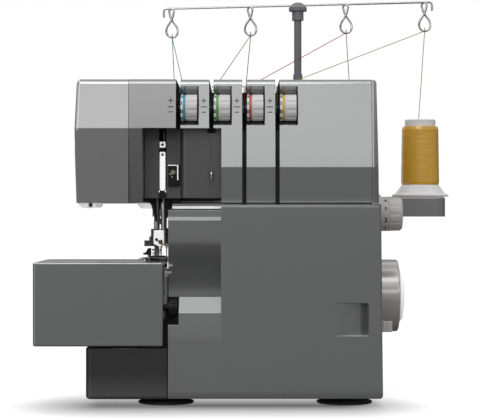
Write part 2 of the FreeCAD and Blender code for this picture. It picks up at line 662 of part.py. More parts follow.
for lug_x in LUG_XS:
    lugs.append(rod_x(lug_x - LUG_WIDTH / 2, lug_x + LUG_WIDTH / 2, HINGE_Y, HINGE_Z, 9.0))
    lugs.append(box(lug_x - LUG_WIDTH / 2, lug_x + LUG_WIDTH / 2, HINGE_Y, pan_front + 1, HINGE_Z - 4.5,
                    HINGE_Z + 4.5))
pan_posts = [box(x - 7, x + 7, y - 7, y + 7, floor_z - 1, 20.0) for x in (-6, 168) for y in (-8, 84)]
pan = pan.fuse(lugs + pan_posts)
hinge_bore = rod_x(LUG_XS[0] - 20, LUG_XS[1] + 20, HINGE_Y, HINGE_Z, HINGE_ROD_DIAMETER + 2 * RUN_GAP)
pan = pan.cut(hinge_bore).removeSplitter()
export("base_pan", pan)

# Rubber suction feet
foot_points = [(0, 19.0), (0, 25.2), (1.6, 25.6), (3.2, 22.0), (4.6, 15.0), (FOOT_HEIGHT, 12.0),
               (FOOT_HEIGHT, 0.0),
               (3.0, 0.0), (2.4, 8.0)]
feet = [spin(foot_points, V(x, y, 0), V(0, 0, 1)) for x in (4.0, 168.0) for y in (-44.0, 84.0)]
export("rubber_feet", *feet)

# Front cover: flat field, hump and chip scoop
cover_y = COVER_FACE_Y
field_path = [(cover_y, COVER_BOTTOM_Z), (cover_y, COVER_TOP_Z), (cover_y + COVER_RETURN, COVER_TOP_Z)]
points, radii = sheet(field_path, {1: 3.0}, WALL)
field = slab_x(points, COLUMN_LEFT_X, BODY_RIGHT_X + 1, radii)
scoop_back = cover_y + SCOOP_DEPTH
scoop_path = [(cover_y, COVER_BOTTOM_Z), (cover_y, SCOOP_BOTTOM_Z), (cover_y + 0.7, SCOOP_BOTTOM_Z + 12),
              (cover_y + 1.4, SCOOP_BOTTOM_Z + 23.4), (scoop_back, SCOOP_BOTTOM_Z + 36.8),
              (scoop_back, SCOOP_TOP_Z - SCOOP_RISE), (cover_y, SCOOP_TOP_Z),
              (cover_y, HUMP_TOP_Z - 9), (cover_y + 2.4, HUMP_TOP_Z - 6.6), (cover_y + 2.6, HUMP_TOP_Z),
              (cover_y + COVER_RETURN, HUMP_TOP_Z)]
scoop_radii = {5: SCOOP_HOLLOW, 6: SCOOP_BROW}
points, radii = sheet(scoop_path, scoop_radii, WALL)
scoop = slab_x(points, COVER_LEFT_X, COLUMN_LEFT_X + WALL, radii)
scoop_fill = slab_x(scoop_path[1:7], COLUMN_LEFT_X, COLUMN_LEFT_X + WALL, {4: SCOOP_HOLLOW})
end_rib = box(COLUMN_LEFT_X, COLUMN_LEFT_X + WALL, cover_y + 1, cover_y + COVER_RETURN, SCOOP_TOP_Z + 4,
              COVER_TOP_Z - 1)
lean_x = BODY_RIGHT_X - COVER_SIDE_LEAN
right_wall = slab_y([(BODY_RIGHT_X - WALL, COVER_BOTTOM_Z), (BODY_RIGHT_X, COVER_BOTTOM_Z),
                     (lean_x, COVER_TOP_Z),
                     (lean_x - WALL, COVER_TOP_Z)], cover_y, cover_y + COVER_RETURN)
right_trim = slab_y([(BODY_RIGHT_X, COVER_BOTTOM_Z - 1), (BODY_RIGHT_X + 9, COVER_BOTTOM_Z - 1),
                     (BODY_RIGHT_X + 9, COVER_TOP_Z + 1), (lean_x, COVER_TOP_Z + 1)], cover_y - 9,
                    cover_y + 60)
cover = field.cut(right_trim).fuse([scoop, scoop_fill, end_rib, right_wall]).removeSplitter()
finger_left = FINGER_RIGHT_X - FINGER_WIDTH
finger_points = [(finger_left - 5, cover_y - 1), (FINGER_RIGHT_X, cover_y - 1),
                 (FINGER_RIGHT_X, cover_y + FINGER_DEPTH), (finger_left + 9, cover_y - 0.05),
                 (finger_left - 5, cover_y - 0.05)]
finger_cut = slab_z(finger_points, FINGER_Z - FINGER_HEIGHT / 2, FINGER_Z + FINGER_HEIGHT / 2,
                    {3: 60.0})
finger_shell = slab_z([(finger_left + 3, cover_y + 1), (FINGER_RIGHT_X + 2, cover_y + 1),
                       (FINGER_RIGHT_X + 2, cover_y + FINGER_DEPTH + 2),
                       (FINGER_RIGHT_X - 2, cover_y + FINGER_DEPTH + 2)],
                      FINGER_Z - FINGER_HEIGHT / 2 - 2, FINGER_Z + FINGER_HEIGHT / 2 + 2)
knob_notch = box(COVER_LEFT_X - 1, COVER_LEFT_X + KNOB_LENGTH + 1.4, cover_y - 1, cover_y + 60,
                 KNOB_Z - KNOB_DIAMETER / 2 - 6.5, KNOB_Z + KNOB_DIAMETER / 2 + 1.2)
knuckles = []
for lug_x in LUG_XS:
    start = lug_x + LUG_WIDTH / 2 + BODY_GAP
    knuckles.append(rod_x(start, start + COVER_KNUCKLE, HINGE_Y, HINGE_Z, 10.0))
    knuckles.append(box(start, start + COVER_KNUCKLE, cover_y + 1, HINGE_Y, HINGE_Z - 5, HINGE_Z + 5))
cover = cover.fuse([finger_shell] + knuckles).cut([finger_cut, knob_notch, hinge_bore]).removeSplitter()

round_r = 2.4
edge_x = BODY_RIGHT_X + COVER_SIDE_LEAN / (COVER_TOP_Z - COVER_BOTTOM_Z)
bend = round_r * (1 - math.sqrt(0.5))
edge_points = [V(edge_x - round_r, cover_y, COVER_BOTTOM_Z - 1),
               V(edge_x - bend, cover_y + bend, COVER_BOTTOM_Z - 1),
               V(edge_x, cover_y + round_r, COVER_BOTTOM_Z - 1),
               V(edge_x + 2, cover_y + round_r, COVER_BOTTOM_Z - 1),
               V(edge_x + 2, cover_y - 2, COVER_BOTTOM_Z - 1),
               V(edge_x - round_r, cover_y - 2, COVER_BOTTOM_Z - 1)]
edge_wire = Part.Wire([Part.Arc(*edge_points[:3]).toShape(),
                       Part.makePolygon(edge_points[2:] + edge_points[:1])])
edge_way = V(-COVER_SIDE_LEAN, 0, COVER_TOP_Z - COVER_BOTTOM_Z)
corner_x = BODY_RIGHT_X - COVER_CORNER
corner_z = COVER_BOTTOM_Z + COVER_CORNER
corner_cut = box(corner_x, BODY_RIGHT_X + 1, cover_y - 1, cover_y + COVER_RETURN + 1, COVER_BOTTOM_Z - 1,
                 corner_z)
corner_cut = corner_cut.cut(rod_y(cover_y - 2, cover_y + COVER_RETURN + 2, corner_x, corner_z,
                                  2 * COVER_CORNER))
cover = cover.cut([Part.Face(edge_wire).extrude(edge_way * 1.02), corner_cut]).removeSplitter()
export("front_cover", cover)

rod_left = LUG_XS[0] - LUG_WIDTH / 2 - 3
rod_right = LUG_XS[1] + LUG_WIDTH / 2 + BODY_GAP + COVER_KNUCKLE + COVER_TRAVEL / 2 + 0.6
export("cover_hinge_rod", rod_x(rod_left, rod_right, HINGE_Y, HINGE_Z, HINGE_ROD_DIAMETER))

# Swing-out cloth plate
cloth_top = slab_z([(CLOTH_LEFT_X, COVER_FACE_Y), (CLOTH_LEFT_X, CLOTH_REAR_Y),
                    (PLATE_LEFT_X - SEAM, CLOTH_REAR_Y),
                    (PLATE_LEFT_X - SEAM, PLATE_FRONT_Y - SEAM), (CLOTH_RIGHT_X, PLATE_FRONT_Y - SEAM),
                    (CLOTH_RIGHT_X, COVER_FACE_Y)], CLOTH_BOTTOM_Z, BED_Z, {0: 2.2, 1: 8.0, 5: 2.2})
cloth_top = soften(cloth_top, 1.2, lambda b: flat(b.ZMin, b.ZMax, BED_Z) and b.YMax < CLOTH_REAR_Y + 1
                   and (b.XMax < CLOTH_LEFT_X + 9 or b.YMax < COVER_FACE_Y + 3))
cloth_top = soften(cloth_top, 1.2, lambda b: flat(b.ZMin, b.ZMax,
                                                  CLOTH_BOTTOM_Z) and b.YMax < CLOTH_REAR_Y + 1
                   and (b.XMax < CLOTH_LEFT_X + 9 or b.YMax < COVER_FACE_Y + 3))
cloth_room = slab_z([(CLOTH_LEFT_X + WALL, COVER_FACE_Y + WALL),
                     (CLOTH_LEFT_X + WALL, CLOTH_REAR_Y - WALL),
                     (SWING_X + 8, CLOTH_REAR_Y - WALL), (SWING_X + 8, CLOTH_REAR_Y + 1),
                     (CLOTH_RIGHT_X + 9, CLOTH_REAR_Y + 1), (CLOTH_RIGHT_X + 9, COVER_FACE_Y + WALL)],
                    CLOTH_BOTTOM_Z - 1, BED_Z - WALL, {0: 1.5, 1: 5.5})
cloth = cloth_top.cut(cloth_room)
knuckle_spans = ((60.0, 78.0), (97.0, 115.0))
for z0, z1 in knuckle_spans:
    cloth = cloth.fuse([rod_z(z0, z1, SWING_X, SWING_Y, KNUCKLE_DIAMETER),
                        box(SWING_X - 5.5, SWING_X + 5.5, CLOTH_REAR_Y - 1, SWING_Y, z0, z1)])
cloth = cloth.cut(rod_z(50, 125, SWING_X, SWING_Y, SWING_PIN_DIAMETER + 2 * RUN_GAP)).removeSplitter()
export("cloth_plate", cloth)

bracket = join(rod_z(79.0, 96.0, SWING_X, SWING_Y, KNUCKLE_DIAMETER),
               box(SWING_X - 5, SWING_X + 5, SWING_Y, SWING_Y + 16, 79.0, 96.0),
               box(SWING_X - 5, SWING_X + 5, SWING_Y + 8, SWING_Y + 16, floor_z, 96.0))
export("cloth_plate_bracket", join(bracket, rod_z(58.0, 117.0, SWING_X, SWING_Y, SWING_PIN_DIAMETER)))

# Needle plate with its stitch finger, feed slots and needle hole
plate_bottom = BED_Z - PLATE_THICKNESS
plate = slab_z([(PLATE_LEFT_X, PLATE_FRONT_Y), (PLATE_LEFT_X, PLATE_REAR_Y),
                (PLATE_RIGHT_X, PLATE_REAR_Y),
                (PLATE_RIGHT_X, PLATE_FRONT_Y)], plate_bottom, BED_Z, {0: 2.0, 1: 2.0, 2: 2.0})
feed_rows = (-10.6, -6.0)
feed_cuts = [box(x - 1.9, x + 1.9, 4.0, 27.0, plate_bottom - 1, BED_Z + 1) for x in feed_rows]
feed_cuts += [box(x - 1.9, x + 1.9, -21.0, -4.5, plate_bottom - 1, BED_Z + 1) for x in feed_rows]
needle_hole = box(-4.8, 6.4 + 1, -2.4, 2.4, plate_bottom - 1, BED_Z + 1)
finger_strip = box(3.6, 5.0, -2.4, 9.0, plate_bottom + 0.5, BED_Z)
knife_cut = box(3.0, PLATE_RIGHT_X + 1, PLATE_FRONT_Y - 1, -2.4, plate_bottom - 1, BED_Z + 1)
finger_gap = box(2.6, 5.8, 2.4, 9.0, plate_bottom - 1, BED_Z + 1)
plate = plate.cut(feed_cuts + [needle_hole, knife_cut, finger_gap])
plate = join(plate, finger_strip.fuse(box(3.6, 5.0, 8.0, 10.0, plate_bottom + 0.5, BED_Z)))
plate_screws = ((-16.5, 29.5), (-16.5, -19.5))
plate = plate.cut([rod_z(plate_bottom - 1, BED_Z + 1, x, y, 3.6) for x, y in plate_screws])
export("needle_plate", plate)


def saw_bar(x, y0, y1, base, tip):
    """One row of feed teeth."""
    pitch = 2.0
    teeth = int((y1 - y0) / pitch)
    row = [(y0, base)]
    for i in range(teeth):
        row.append((y0 + pitch * i, tip - 0.9))
        row.append((y0 + pitch * (i + 0.6), tip))
    row.append((y0 + pitch * teeth, tip - 0.9))
    row.append((y0 + pitch * teeth, base))
    return slab_x(row, x - 1.4, x + 1.4)


feed_tip = BED_Z - 0.2
dogs = [saw_bar(x, 6.5, 24.5, plate_bottom - 6, feed_tip) for x in feed_rows]
dogs += [saw_bar(x, -18.5, -7.0, plate_bottom - 6, feed_tip) for x in feed_rows]
feed_bar = box(-12.4, -4.4, -18.5, 60.0, plate_bottom - 12, plate_bottom - 5.5)
export("feed_dogs", join(feed_bar, *dogs))

# Presser foot, its holder and bar
foot_z = BED_Z + 0.4
sole = slab_x([(-22, foot_z + 3.2), (-19.5, foot_z + 0.8), (-15, foot_z), (27, foot_z),
               (30, foot_z + 1.2), (30, foot_z + 2.6),
               (-16, foot_z + 2.6), (-20.5, foot_z + 4.6)], -13.6, 4.4)
sole = sole.cut([box(-4.8, 3.4, -3.0, 3.0, foot_z - 1, foot_z + 9),
                 box(2.4, 9.0, -30, -3.0, foot_z - 1, foot_z + 9)])
FOOT_PIN_Z = foot_z + 6.2
FOOT_PIN_Y = 12.0
HOLDER_HEIGHT = 22.9
cheeks = []
for x in (-11.6, -4.6):
    cheeks.append(box(x, x + 1.6, FOOT_PIN_Y - 4, FOOT_PIN_Y + 4, foot_z + 2, FOOT_PIN_Z))
    cheeks.append(rod_x(x, x + 1.6, FOOT_PIN_Y, FOOT_PIN_Z, 8.0))
foot_pin = rod_x(-11.0, -3.6, FOOT_PIN_Y, FOOT_PIN_Z, 2.4)
sole = soften(sole, 0.6, lambda b: flat(b.ZMin, b.ZMax, foot_z + 2.6) and b.YLength > 20)
export("presser_foot", join(sole, foot_pin, *cheeks))

presser_low = FOOT_PIN_Z - 3.5
holder_top = FOOT_PIN_Z + HOLDER_HEIGHT
holder = box(-9.5, -5.1, FOOT_PIN_Y - 3.2, FOOT_PIN_Y + 3.2, presser_low, holder_top - 11.0)
holder = join(holder, box(-12.6, -2.9, 6.0, FOOT_PIN_Y + 3.2, FOOT_PIN_Z + 6.5, holder_top),
              box(-19.0, -12.0, 7.0, 9.0, FOOT_PIN_Z + 6.5, FOOT_PIN_Z + 12.0))
holder = holder.cut([rod_x(-20, 9, FOOT_PIN_Y, FOOT_PIN_Z, 2.4 + 2 * 0.3),
                     rod_z(holder_top - 9.0, holder_top + 1, PRESSER_X, PRESSER_Y,
                           PRESSER_BAR_DIAMETER + 0.06)])
export("foot_holder", holder)
presser_top = ARM_TOP_Z - WALL - PRESSER_LIFT - PRESSER_SPRING_SPACE
presser_bar = join(rod_z(holder_top - 9.0, presser_top, PRESSER_X, PRESSER_Y, PRESSER_BAR_DIAMETER),
                   rod_z(190.0, 196.0, PRESSER_X, PRESSER_Y, 9.0))
export("presser_bar", presser_bar)

# Foot lifter lever, pivoted inside the arm
LIFT_PIVOT_Y = 62.0
LIFT_PIVOT_Z = 200.0
lift_x = -10.0
lifter = join(rod_x(lift_x - 2, lift_x + 2, LIFT_PIVOT_Y, LIFT_PIVOT_Z, 12.0),
              slab_x([(LIFT_PIVOT_Y - 5, LIFT_PIVOT_Z - 3), (LIFT_PIVOT_Y - 3, 172.0), (98.0, 163.0),
                      (98.0, 169.0),
                      (LIFT_PIVOT_Y + 5, 178.0), (LIFT_PIVOT_Y + 5, LIFT_PIVOT_Z)], lift_x - 2,
                     lift_x + 2),
              slab_z([(lift_x - 2, 94), (lift_x - 2, 106), (lift_x + 7, 106), (lift_x + 7, 94)], 162.6,
                     168.6, {1: 3.0, 2: 3.0}))
lifter = lifter.cut(rod_x(lift_x - 9, lift_x + 9, LIFT_PIVOT_Y, LIFT_PIVOT_Z, 5.0 + 2 * RUN_GAP))
export("foot_lifter", lifter)

# Needle bar, clamp, needles and take-up
clamp_top = CLAMP_BOTTOM_Z + CLAMP_HEIGHT
needle_top = ARM_TOP_Z - WALL - NEEDLE_STROKE - 2.1
needle_bar = rod_z(clamp_top - 9, needle_top, 0, 0, NEEDLE_BAR_DIAMETER)
export("needle_bar", needle_bar)
clamp = box(-CLAMP_WIDTH / 2, CLAMP_WIDTH / 2, -CLAMP_DEPTH / 2, CLAMP_DEPTH / 2, CLAMP_BOTTOM_Z,
            clamp_top)
clamp = soften(clamp, 1.0, lambda b: b.ZLength > 5)
needle_xs = (-NEEDLE_PITCH / 2, NEEDLE_PITCH / 2)
clamp_cuts = [rod_z(clamp_top - 9, clamp_top + 1, 0, 0, NEEDLE_BAR_DIAMETER + 0.06)]
clamp_cuts += [rod_z(CLAMP_BOTTOM_Z - 1, CLAMP_BOTTOM_Z + 6.2, x, 0, 2.06) for x in needle_xs]
screw_zs = (CLAMP_BOTTOM_Z + 4.4, CLAMP_BOTTOM_Z + 11.6)
clamp_cuts += [rod_y(-9, -2.85, 0, screw_zs[1], 2.6)]
clamp_cuts += [rod_y(-9, -1.1, x, screw_zs[0], 2.6) for x in needle_xs]
export("needle_clamp", clamp.cut(clamp_cuts))
needles = []
for x in needle_xs:
    needles.append(spin([(114.0, 0.05), (118.0, NEEDLE_DIAMETER / 2),
                         (CLAMP_BOTTOM_Z - 3, NEEDLE_DIAMETER / 2),
                         (CLAMP_BOTTOM_Z - 1.5, 1.0), (CLAMP_BOTTOM_Z + 6, 1.0), (CLAMP_BOTTOM_Z + 6, 0),
                         (114.0, 0)],
                        V(x, 0, 0), V(0, 0, 1)))
export("needles", *needles)


def slotted_screw(x, y, z, direction, shank, head, length):
    """Cheese-head screw whose head seats at the point given and looks along the direction."""
    screw = spin([(-length, 0), (-length, shank / 2), (0, shank / 2), (0, head / 2),
                  (head * 0.35, head / 2),
                  (head * 0.45, head * 0.4), (head * 0.45, 0)], V(x, y, z), direction)
    slot = box(-head, head, -head * 0.09, head * 0.09, head * 0.25, head)
    slot.Placement = FreeCAD.Placement(V(x, y, z), FreeCAD.Rotation(V(0, 0, 1), direction))
    return screw.cut(slot)


front_way = V(0, -1, 0)
clamp_face = -CLAMP_DEPTH / 2
clamp_screws = [slotted_screw(0, clamp_face, screw_zs[1], front_way, 2.5, 4.0, 1.1)]
clamp_screws += [slotted_screw(x, clamp_face, screw_zs[0], front_way, 2.5, 3.6, 2.8) for x in needle_xs]
export("clamp_screws", *clamp_screws)

STRIP_Y = -29.0
strip_low = 195.0
strip_top = 231.0
strip = slab_y([(-2.6, strip_low), (2.6, strip_low), (2.6, strip_top), (-2.6, strip_top)], STRIP_Y,
               STRIP_Y + 1.2,
               {0: 2.0, 1: 2.0, 2: 1.0, 3: 1.0})
eyelet = slab_y([(-2.7, 235.0), (2.7, 235.0), (2.7, 240.4), (-2.7, 240.4)], STRIP_Y, STRIP_Y + 1.2)
strip_cuts = [rod_y(STRIP_Y - 1, STRIP_Y + 3, 0, 237.7, 2.6),
              rod_y(STRIP_Y - 1, STRIP_Y + 1.2, 0, strip_top - 2.6, 2.4)]
take_arm = box(-2.0, 2.0, STRIP_Y + 1.2, -3.6, 226.5, 231.0)
take_post = box(-2.0, 2.0, STRIP_Y + 1.2, STRIP_Y + 2.6, 226.5, 240.0)
take_collar = rod_z(223.0, 233.0, 0, 0, 9.6).cut(rod_z(220.0, 236.0, 0, 0, NEEDLE_BAR_DIAMETER + 0.06))
take_up = join(strip.fuse(eyelet).fuse([take_arm, take_post]), take_collar).cut(strip_cuts)
export("take_up", take_up)

# Dark panel in the head recess
panel_left = RECESS_LEFT_X + 0.4
panel_right = COLUMN_LEFT_X - 0.4
PANEL_Y = -25.0
SHALLOW_Y = -47.0
panel_path = [(panel_left, PANEL_Y), (PANEL_STEP_X, PANEL_Y), (PANEL_STEP_X, SHALLOW_Y),
              (panel_right, SHALLOW_Y)]
points, radii = sheet(panel_path[::-1], {1: 3.5, 2: 4.0}, 2.0)
panel = slab_z(points, 188.0, RECESS_TOP_Z + 1.0, radii)
panel_slot = box(-3.4, 3.4, PANEL_Y - 9, PANEL_Y + 9, 191.5, RECESS_TOP_Z + 9)
groove_x = SLOT_XS[1]
panel_groove = box(groove_x - 1.7, groove_x + 1.7, SHALLOW_Y - 3, SHALLOW_Y + 1.1, 187.0,
                   RECESS_TOP_Z + 9)
slot_clear = [slot_channel(slot_x, CHANNEL_WALL + 0.4, False) for slot_x in SLOT_XS[:2]]
panel = panel.cut([panel_slot, panel_groove] + slot_clear)
panel = panel.cut(rod_y(SHALLOW_Y - 9, SHALLOW_Y + 9, groove_x, 212.0, 1.9))
panel = panel.cut(rod_y(PANEL_Y - 9, PANEL_Y + 9, 9.6, 212.0, 2.7)).removeSplitter()
export("needle_panel", *panel.Solids)

# Thread guides on the panel
guide_plate = slab_y([(5.4, 199.0), (15.0, 199.0), (15.0, 219.0), (13.8, 219.0), (13.8, 217.6),
                      (6.8, 217.6),
                      (6.8, 219.0), (5.4, 219.0)], PANEL_Y - 3.4, PANEL_Y - 2.2)
guide_plate = guide_plate.cut([rod_y(PANEL_Y - 9, PANEL_Y + 9, 9.6, 212.0, 2.7),
                               slab_y([(8.0, 201.0), (13.0, 201.0), (13.0, 208.0), (8.0, 208.0)],
                                      PANEL_Y - 9, PANEL_Y)])
guide_pad = rod_y(PANEL_Y - 2.2, PANEL_Y - 2.0, 9.6, 212.0,
                  8.0).cut(rod_y(PANEL_Y - 9, PANEL_Y, 9.6, 212.0, 2.7))
head_guide = join(guide_plate, guide_pad)
screws = [slotted_screw(9.6, PANEL_Y - 3.4, 212.0, front_way, 2.6, 5.0, 4.6)]
screws += [slotted_screw(x, y, BED_Z, V(0, 0, 1), 3.5, 5.6, 2.4) for x, y in plate_screws]
hook = wire_form([(V(groove_x, SHALLOW_Y + 3.0, 212.0), V(0, -1, 0)),
                  (V(groove_x, SHALLOW_Y - 3.0, 212.0), V(0, -1, 0)),
                  (V(groove_x, SHALLOW_Y - 5.5, 209.5), V(0, 0, -1)),
                  (V(groove_x, SHALLOW_Y - 5.5, 205.0), V(0, 0, -1))],
                 1.8)

# Lamp lens under the head
lens = slab_y([(-25.0, ARM_BOTTOM_Z), (-13.0, ARM_BOTTOM_Z), (-10.0, ARM_BOTTOM_Z - 5.2),
               (-21.0, ARM_BOTTOM_Z - 5.2)],
              -16.0, 18.0, {2: 1.5, 3: 1.5})
lens = lens.cut(box(RECESS_LEFT_X, 9, -30, 30, ARM_BOTTOM_Z - 0.2, ARM_BOTTOM_Z + 9))
export("lamp_lens", lens)

# Inner frame casting
frame = [box(-14, 172, -16, 92, 20.0, 26.0), box(64, 70, -16, 92, 20.0, 228.0),
         box(174, 180, -16, 100, 20.0, 228.0),
         box(-40, 180, 14, 60, 226.0, 234.0), box(-14.5, 8, -8, 24, 204.0, 216.0),
         box(-14.5, 8, 17, 24, 204.0, 266.0),
         box(-14.5, 8, -8, 24, 258.0, 266.0),
         box(-18.5, -14.0, 22.0, 33.0, 22.0, plate_bottom),
         box(-18.5, -14.0, -24.0, -15.0, 22.0, plate_bottom),
         box(-18.5, -10.0, -24.0, 33.0, 20.0, 26.0),
         box(-3, 64, 14, 20, 24.0, 112.0), box(-8.0, 2.0, 61.0, 68.0, 194.0, 230.0),
         box(-8.0, 2.0, 50.0, 68.0, 226.0, 234.0)]
casting = frame[0].fuse(frame[1:])
LOOPER_X = 34.0
LOOPER_Z = 66.0
UPPER_LOOPER_X = 50.0
UPPER_LOOPER_Z = 96.0
casting = casting.cut([rod_x(50, 190, SHAFT_Y, SHAFT_Z, SHAFT_DIAMETER + 6.06),
                       rod_z(200, 270, 0, 0, NEEDLE_BAR_DIAMETER + 2 * RUN_GAP),
                       rod_z(200, 270, PRESSER_X, PRESSER_Y, PRESSER_BAR_DIAMETER + 2 * RUN_GAP),
                       rod_y(10, 30, LOOPER_X, LOOPER_Z, 8.1),
                       rod_y(10, 30, UPPER_LOOPER_X, UPPER_LOOPER_Z, 8.1),
                       rod_x(170, 184, MOTOR_Y, MOTOR_Z, 12.0)]).removeSplitter()
export("main_frame", casting)
lift_pin = rod_x(lift_x - 4, -8.0, LIFT_PIVOT_Y, LIFT_PIVOT_Z, 5.0)

# Loopers on their rocking shafts
lower_looper = join(rod_y(-8.0, 24.0, LOOPER_X, LOOPER_Z, 8.0),
                    rod_y(-10.0, -2.0, LOOPER_X, LOOPER_Z, 13.0),
                    slab_y([(LOOPER_X - 5, LOOPER_Z), (LOOPER_X + 5, LOOPER_Z), (LOOPER_X + 2, 106.0),
                            (LOOPER_X - 6, 112.0),
                            (LOOPER_X - 24, 114.5), (LOOPER_X - 36, 112.0), (LOOPER_X - 24, 110.5),
                            (LOOPER_X - 8, 106.0)],
                           -7.0, -4.0, {3: 6.0, 7: 4.0}))
export("lower_looper", lower_looper)
upper_looper = join(rod_y(-16.0, 24.0, UPPER_LOOPER_X, UPPER_LOOPER_Z, 8.0),
                    rod_y(-18.0, -11.0, UPPER_LOOPER_X, UPPER_LOOPER_Z, 13.0),
                    slab_y([(UPPER_LOOPER_X, UPPER_LOOPER_Z - 5), (UPPER_LOOPER_X, UPPER_LOOPER_Z + 5),
                            (UPPER_LOOPER_X - 30, 106.0), (UPPER_LOOPER_X - 36, 116.0),
                            (UPPER_LOOPER_X - 42, 121.0),
                            (UPPER_LOOPER_X - 40, 112.0), (UPPER_LOOPER_X - 32, 99.0)], -15.0, -12.0,
                           {3: 5.0, 5: 6.0}))
export("upper_looper", upper_looper)

# Knives and the cutting-width knob
lower_knife = slab_x([(-22.0, 96.0), (-9.5, 96.0), (-9.5, BED_Z), (-18.0, BED_Z - 1.0), (-22.0, 122.0)],
                     4.0, 6.2)
holder_x0 = -9.0
knife_holder = join(box(holder_x0, 3.9, -24.0, -8.5, 88.0, 108.0),
                    box(holder_x0, 1.0, -70.0, -16.0, 80.0, 97.0),
                    box(holder_x0, -3.0, -44.0, -34.0, 60.0, 90.0),
                    box(holder_x0, -3.0, -44.0, -15.0, 60.0, 68.0),
                    box(holder_x0, -3.0, -24.0, -16.0, 26.0, 68.0),
                    box(-2, 3.4, -60.0, -50.0, 78.0, 112.0),
                    box(2.4, 5.6, -60.0, -55.0, 91.0, 125.0))
knife_holder = knife_holder.cut(rod_x(-30, 9, KNOB_Y, KNOB_Z, 6.0 + 2 * RUN_GAP))
knife_holder = knife_holder.cut([rod_x(-4.0, 9, -15.0, 102.0, 3.2)]).removeSplitter()
export("knife_holder", knife_holder)
screws.append(slotted_screw(6.2, -15.0, 102.0, V(1, 0, 0), 3.0, 6.0, 9.0))
export("screws", *screws)
lower_knife = lower_knife.cut(rod_x(-9, 9, -15.0, 102.0, 3.2))
export("lower_knife", lower_knife)
upper_knife = join(box(6.6, 8.4, -20.0, -8.0, 126.0, 158.0), box(2.2, 8.4, -20.0, -12.0, 146.0, 160.0),
                   box(6.6, 12.0, -20.0, -12.0, 154.0, 172.0),
                   box(8.8, 14.0, -20.0, -12.0, 168.0, 214.0),
                   box(2.0, 14.0, -20.0, -8.4, 206.0, 214.0))
export("upper_knife", upper_knife)
knob_left = COVER_LEFT_X + 0.3
flutes = 14
knob = rod_x(knob_left, knob_left + KNOB_LENGTH, KNOB_Y, KNOB_Z, KNOB_DIAMETER)
knob = soften(knob, 1.0, lambda b: flat(b.XMin, b.XMax, knob_left + KNOB_LENGTH))
knob_cuts = []
for i in range(flutes):
    angle = 2 * math.pi * i / flutes
    knob_cuts.append(rod_x(knob_left + 2, knob_left + KNOB_LENGTH + 1,
                           KNOB_Y + math.cos(angle) * KNOB_DIAMETER / 2,
                           KNOB_Z + math.sin(angle) * KNOB_DIAMETER / 2, 1.6))
knob = join(knob.cut(knob_cuts), rod_x(-16.0, knob_left, KNOB_Y, KNOB_Z, 6.0))
export("cutting_width_knob", knob)

# Drive train
shaft_right = BODY_RIGHT_X + WHEEL_LENGTH - 4
main_shaft = rod_x(62.0, shaft_right, SHAFT_Y, SHAFT_Z, SHAFT_DIAMETER)
bushes = []
for x0, x1 in ((62.5, 71.5), (172.0, 181.0)):
    bushes.append(rod_x(x0, x1, SHAFT_Y, SHAFT_Z, SHAFT_DIAMETER + 6).cut(
        rod_x(x0 - 1, x1 + 1, SHAFT_Y, SHAFT_Z, SHAFT_DIAMETER + 2 * RUN_GAP)))
belt_x = 186.0


def grooved_pulley(diameter, y, z, bore):
    """Flanged belt pulley."""
    half = PULLEY_WIDTH / 2
    points = [(-half, bore / 2), (-half, diameter / 2 + 1.6), (-half + 0.7, diameter / 2 + 1.6),
              (-half + 0.9, diameter / 2),
              (half - 0.9, diameter / 2), (half - 0.7, diameter / 2 + 1.6), (half, diameter / 2 + 1.6),
              (half, bore / 2)]
    return spin(points, V(belt_x, y, z), V(1, 0, 0))


export("main_shaft", main_shaft, grooved_pulley(PULLEY_DIAMETER, SHAFT_Y, SHAFT_Z,
                                                SHAFT_DIAMETER + 0.06))
motor_pulley = grooved_pulley(MOTOR_PULLEY_DIAMETER, MOTOR_Y, MOTOR_Z, 6.0)
motor_right = 170.0
motor_left = motor_right - MOTOR_LENGTH
export("motor_pulley", join(motor_pulley, rod_x(motor_right - 10, belt_x + PULLEY_WIDTH / 2, MOTOR_Y,
                                                MOTOR_Z, 6.0)))


def belt_face(grow):
    """Area inside the belt line round both pulleys."""
    big = PULLEY_DIAMETER / 2 + grow
    small = MOTOR_PULLEY_DIAMETER / 2 + grow
    dy = MOTOR_Y - SHAFT_Y
    dz = MOTOR_Z - SHAFT_Z
    distance = math.hypot(dy, dz)
    heading = math.atan2(dz, dy)
    spread = math.acos((big - small) / distance)
    a0 = heading + spread
    a1 = heading - spread

    def at(cy, cz, radius, angle):
        return V(0, cy + radius * math.cos(angle), cz + radius * math.sin(angle))

    edges = [Part.Arc(at(SHAFT_Y, SHAFT_Z, big, a0), at(SHAFT_Y, SHAFT_Z, big, heading + math.pi),
                      at(SHAFT_Y, SHAFT_Z, big, a1)).toShape(),
             Part.LineSegment(at(SHAFT_Y, SHAFT_Z, big, a1), at(MOTOR_Y, MOTOR_Z, small, a1)).toShape(),
             Part.Arc(at(MOTOR_Y, MOTOR_Z, small, a1), at(MOTOR_Y, MOTOR_Z, small, heading),
                      at(MOTOR_Y, MOTOR_Z, small, a0)).toShape(),
             Part.LineSegment(at(MOTOR_Y, MOTOR_Z, small, a0), at(SHAFT_Y, SHAFT_Z, big, a0)).toShape()]
    return Part.Face(Part.Wire(edges))


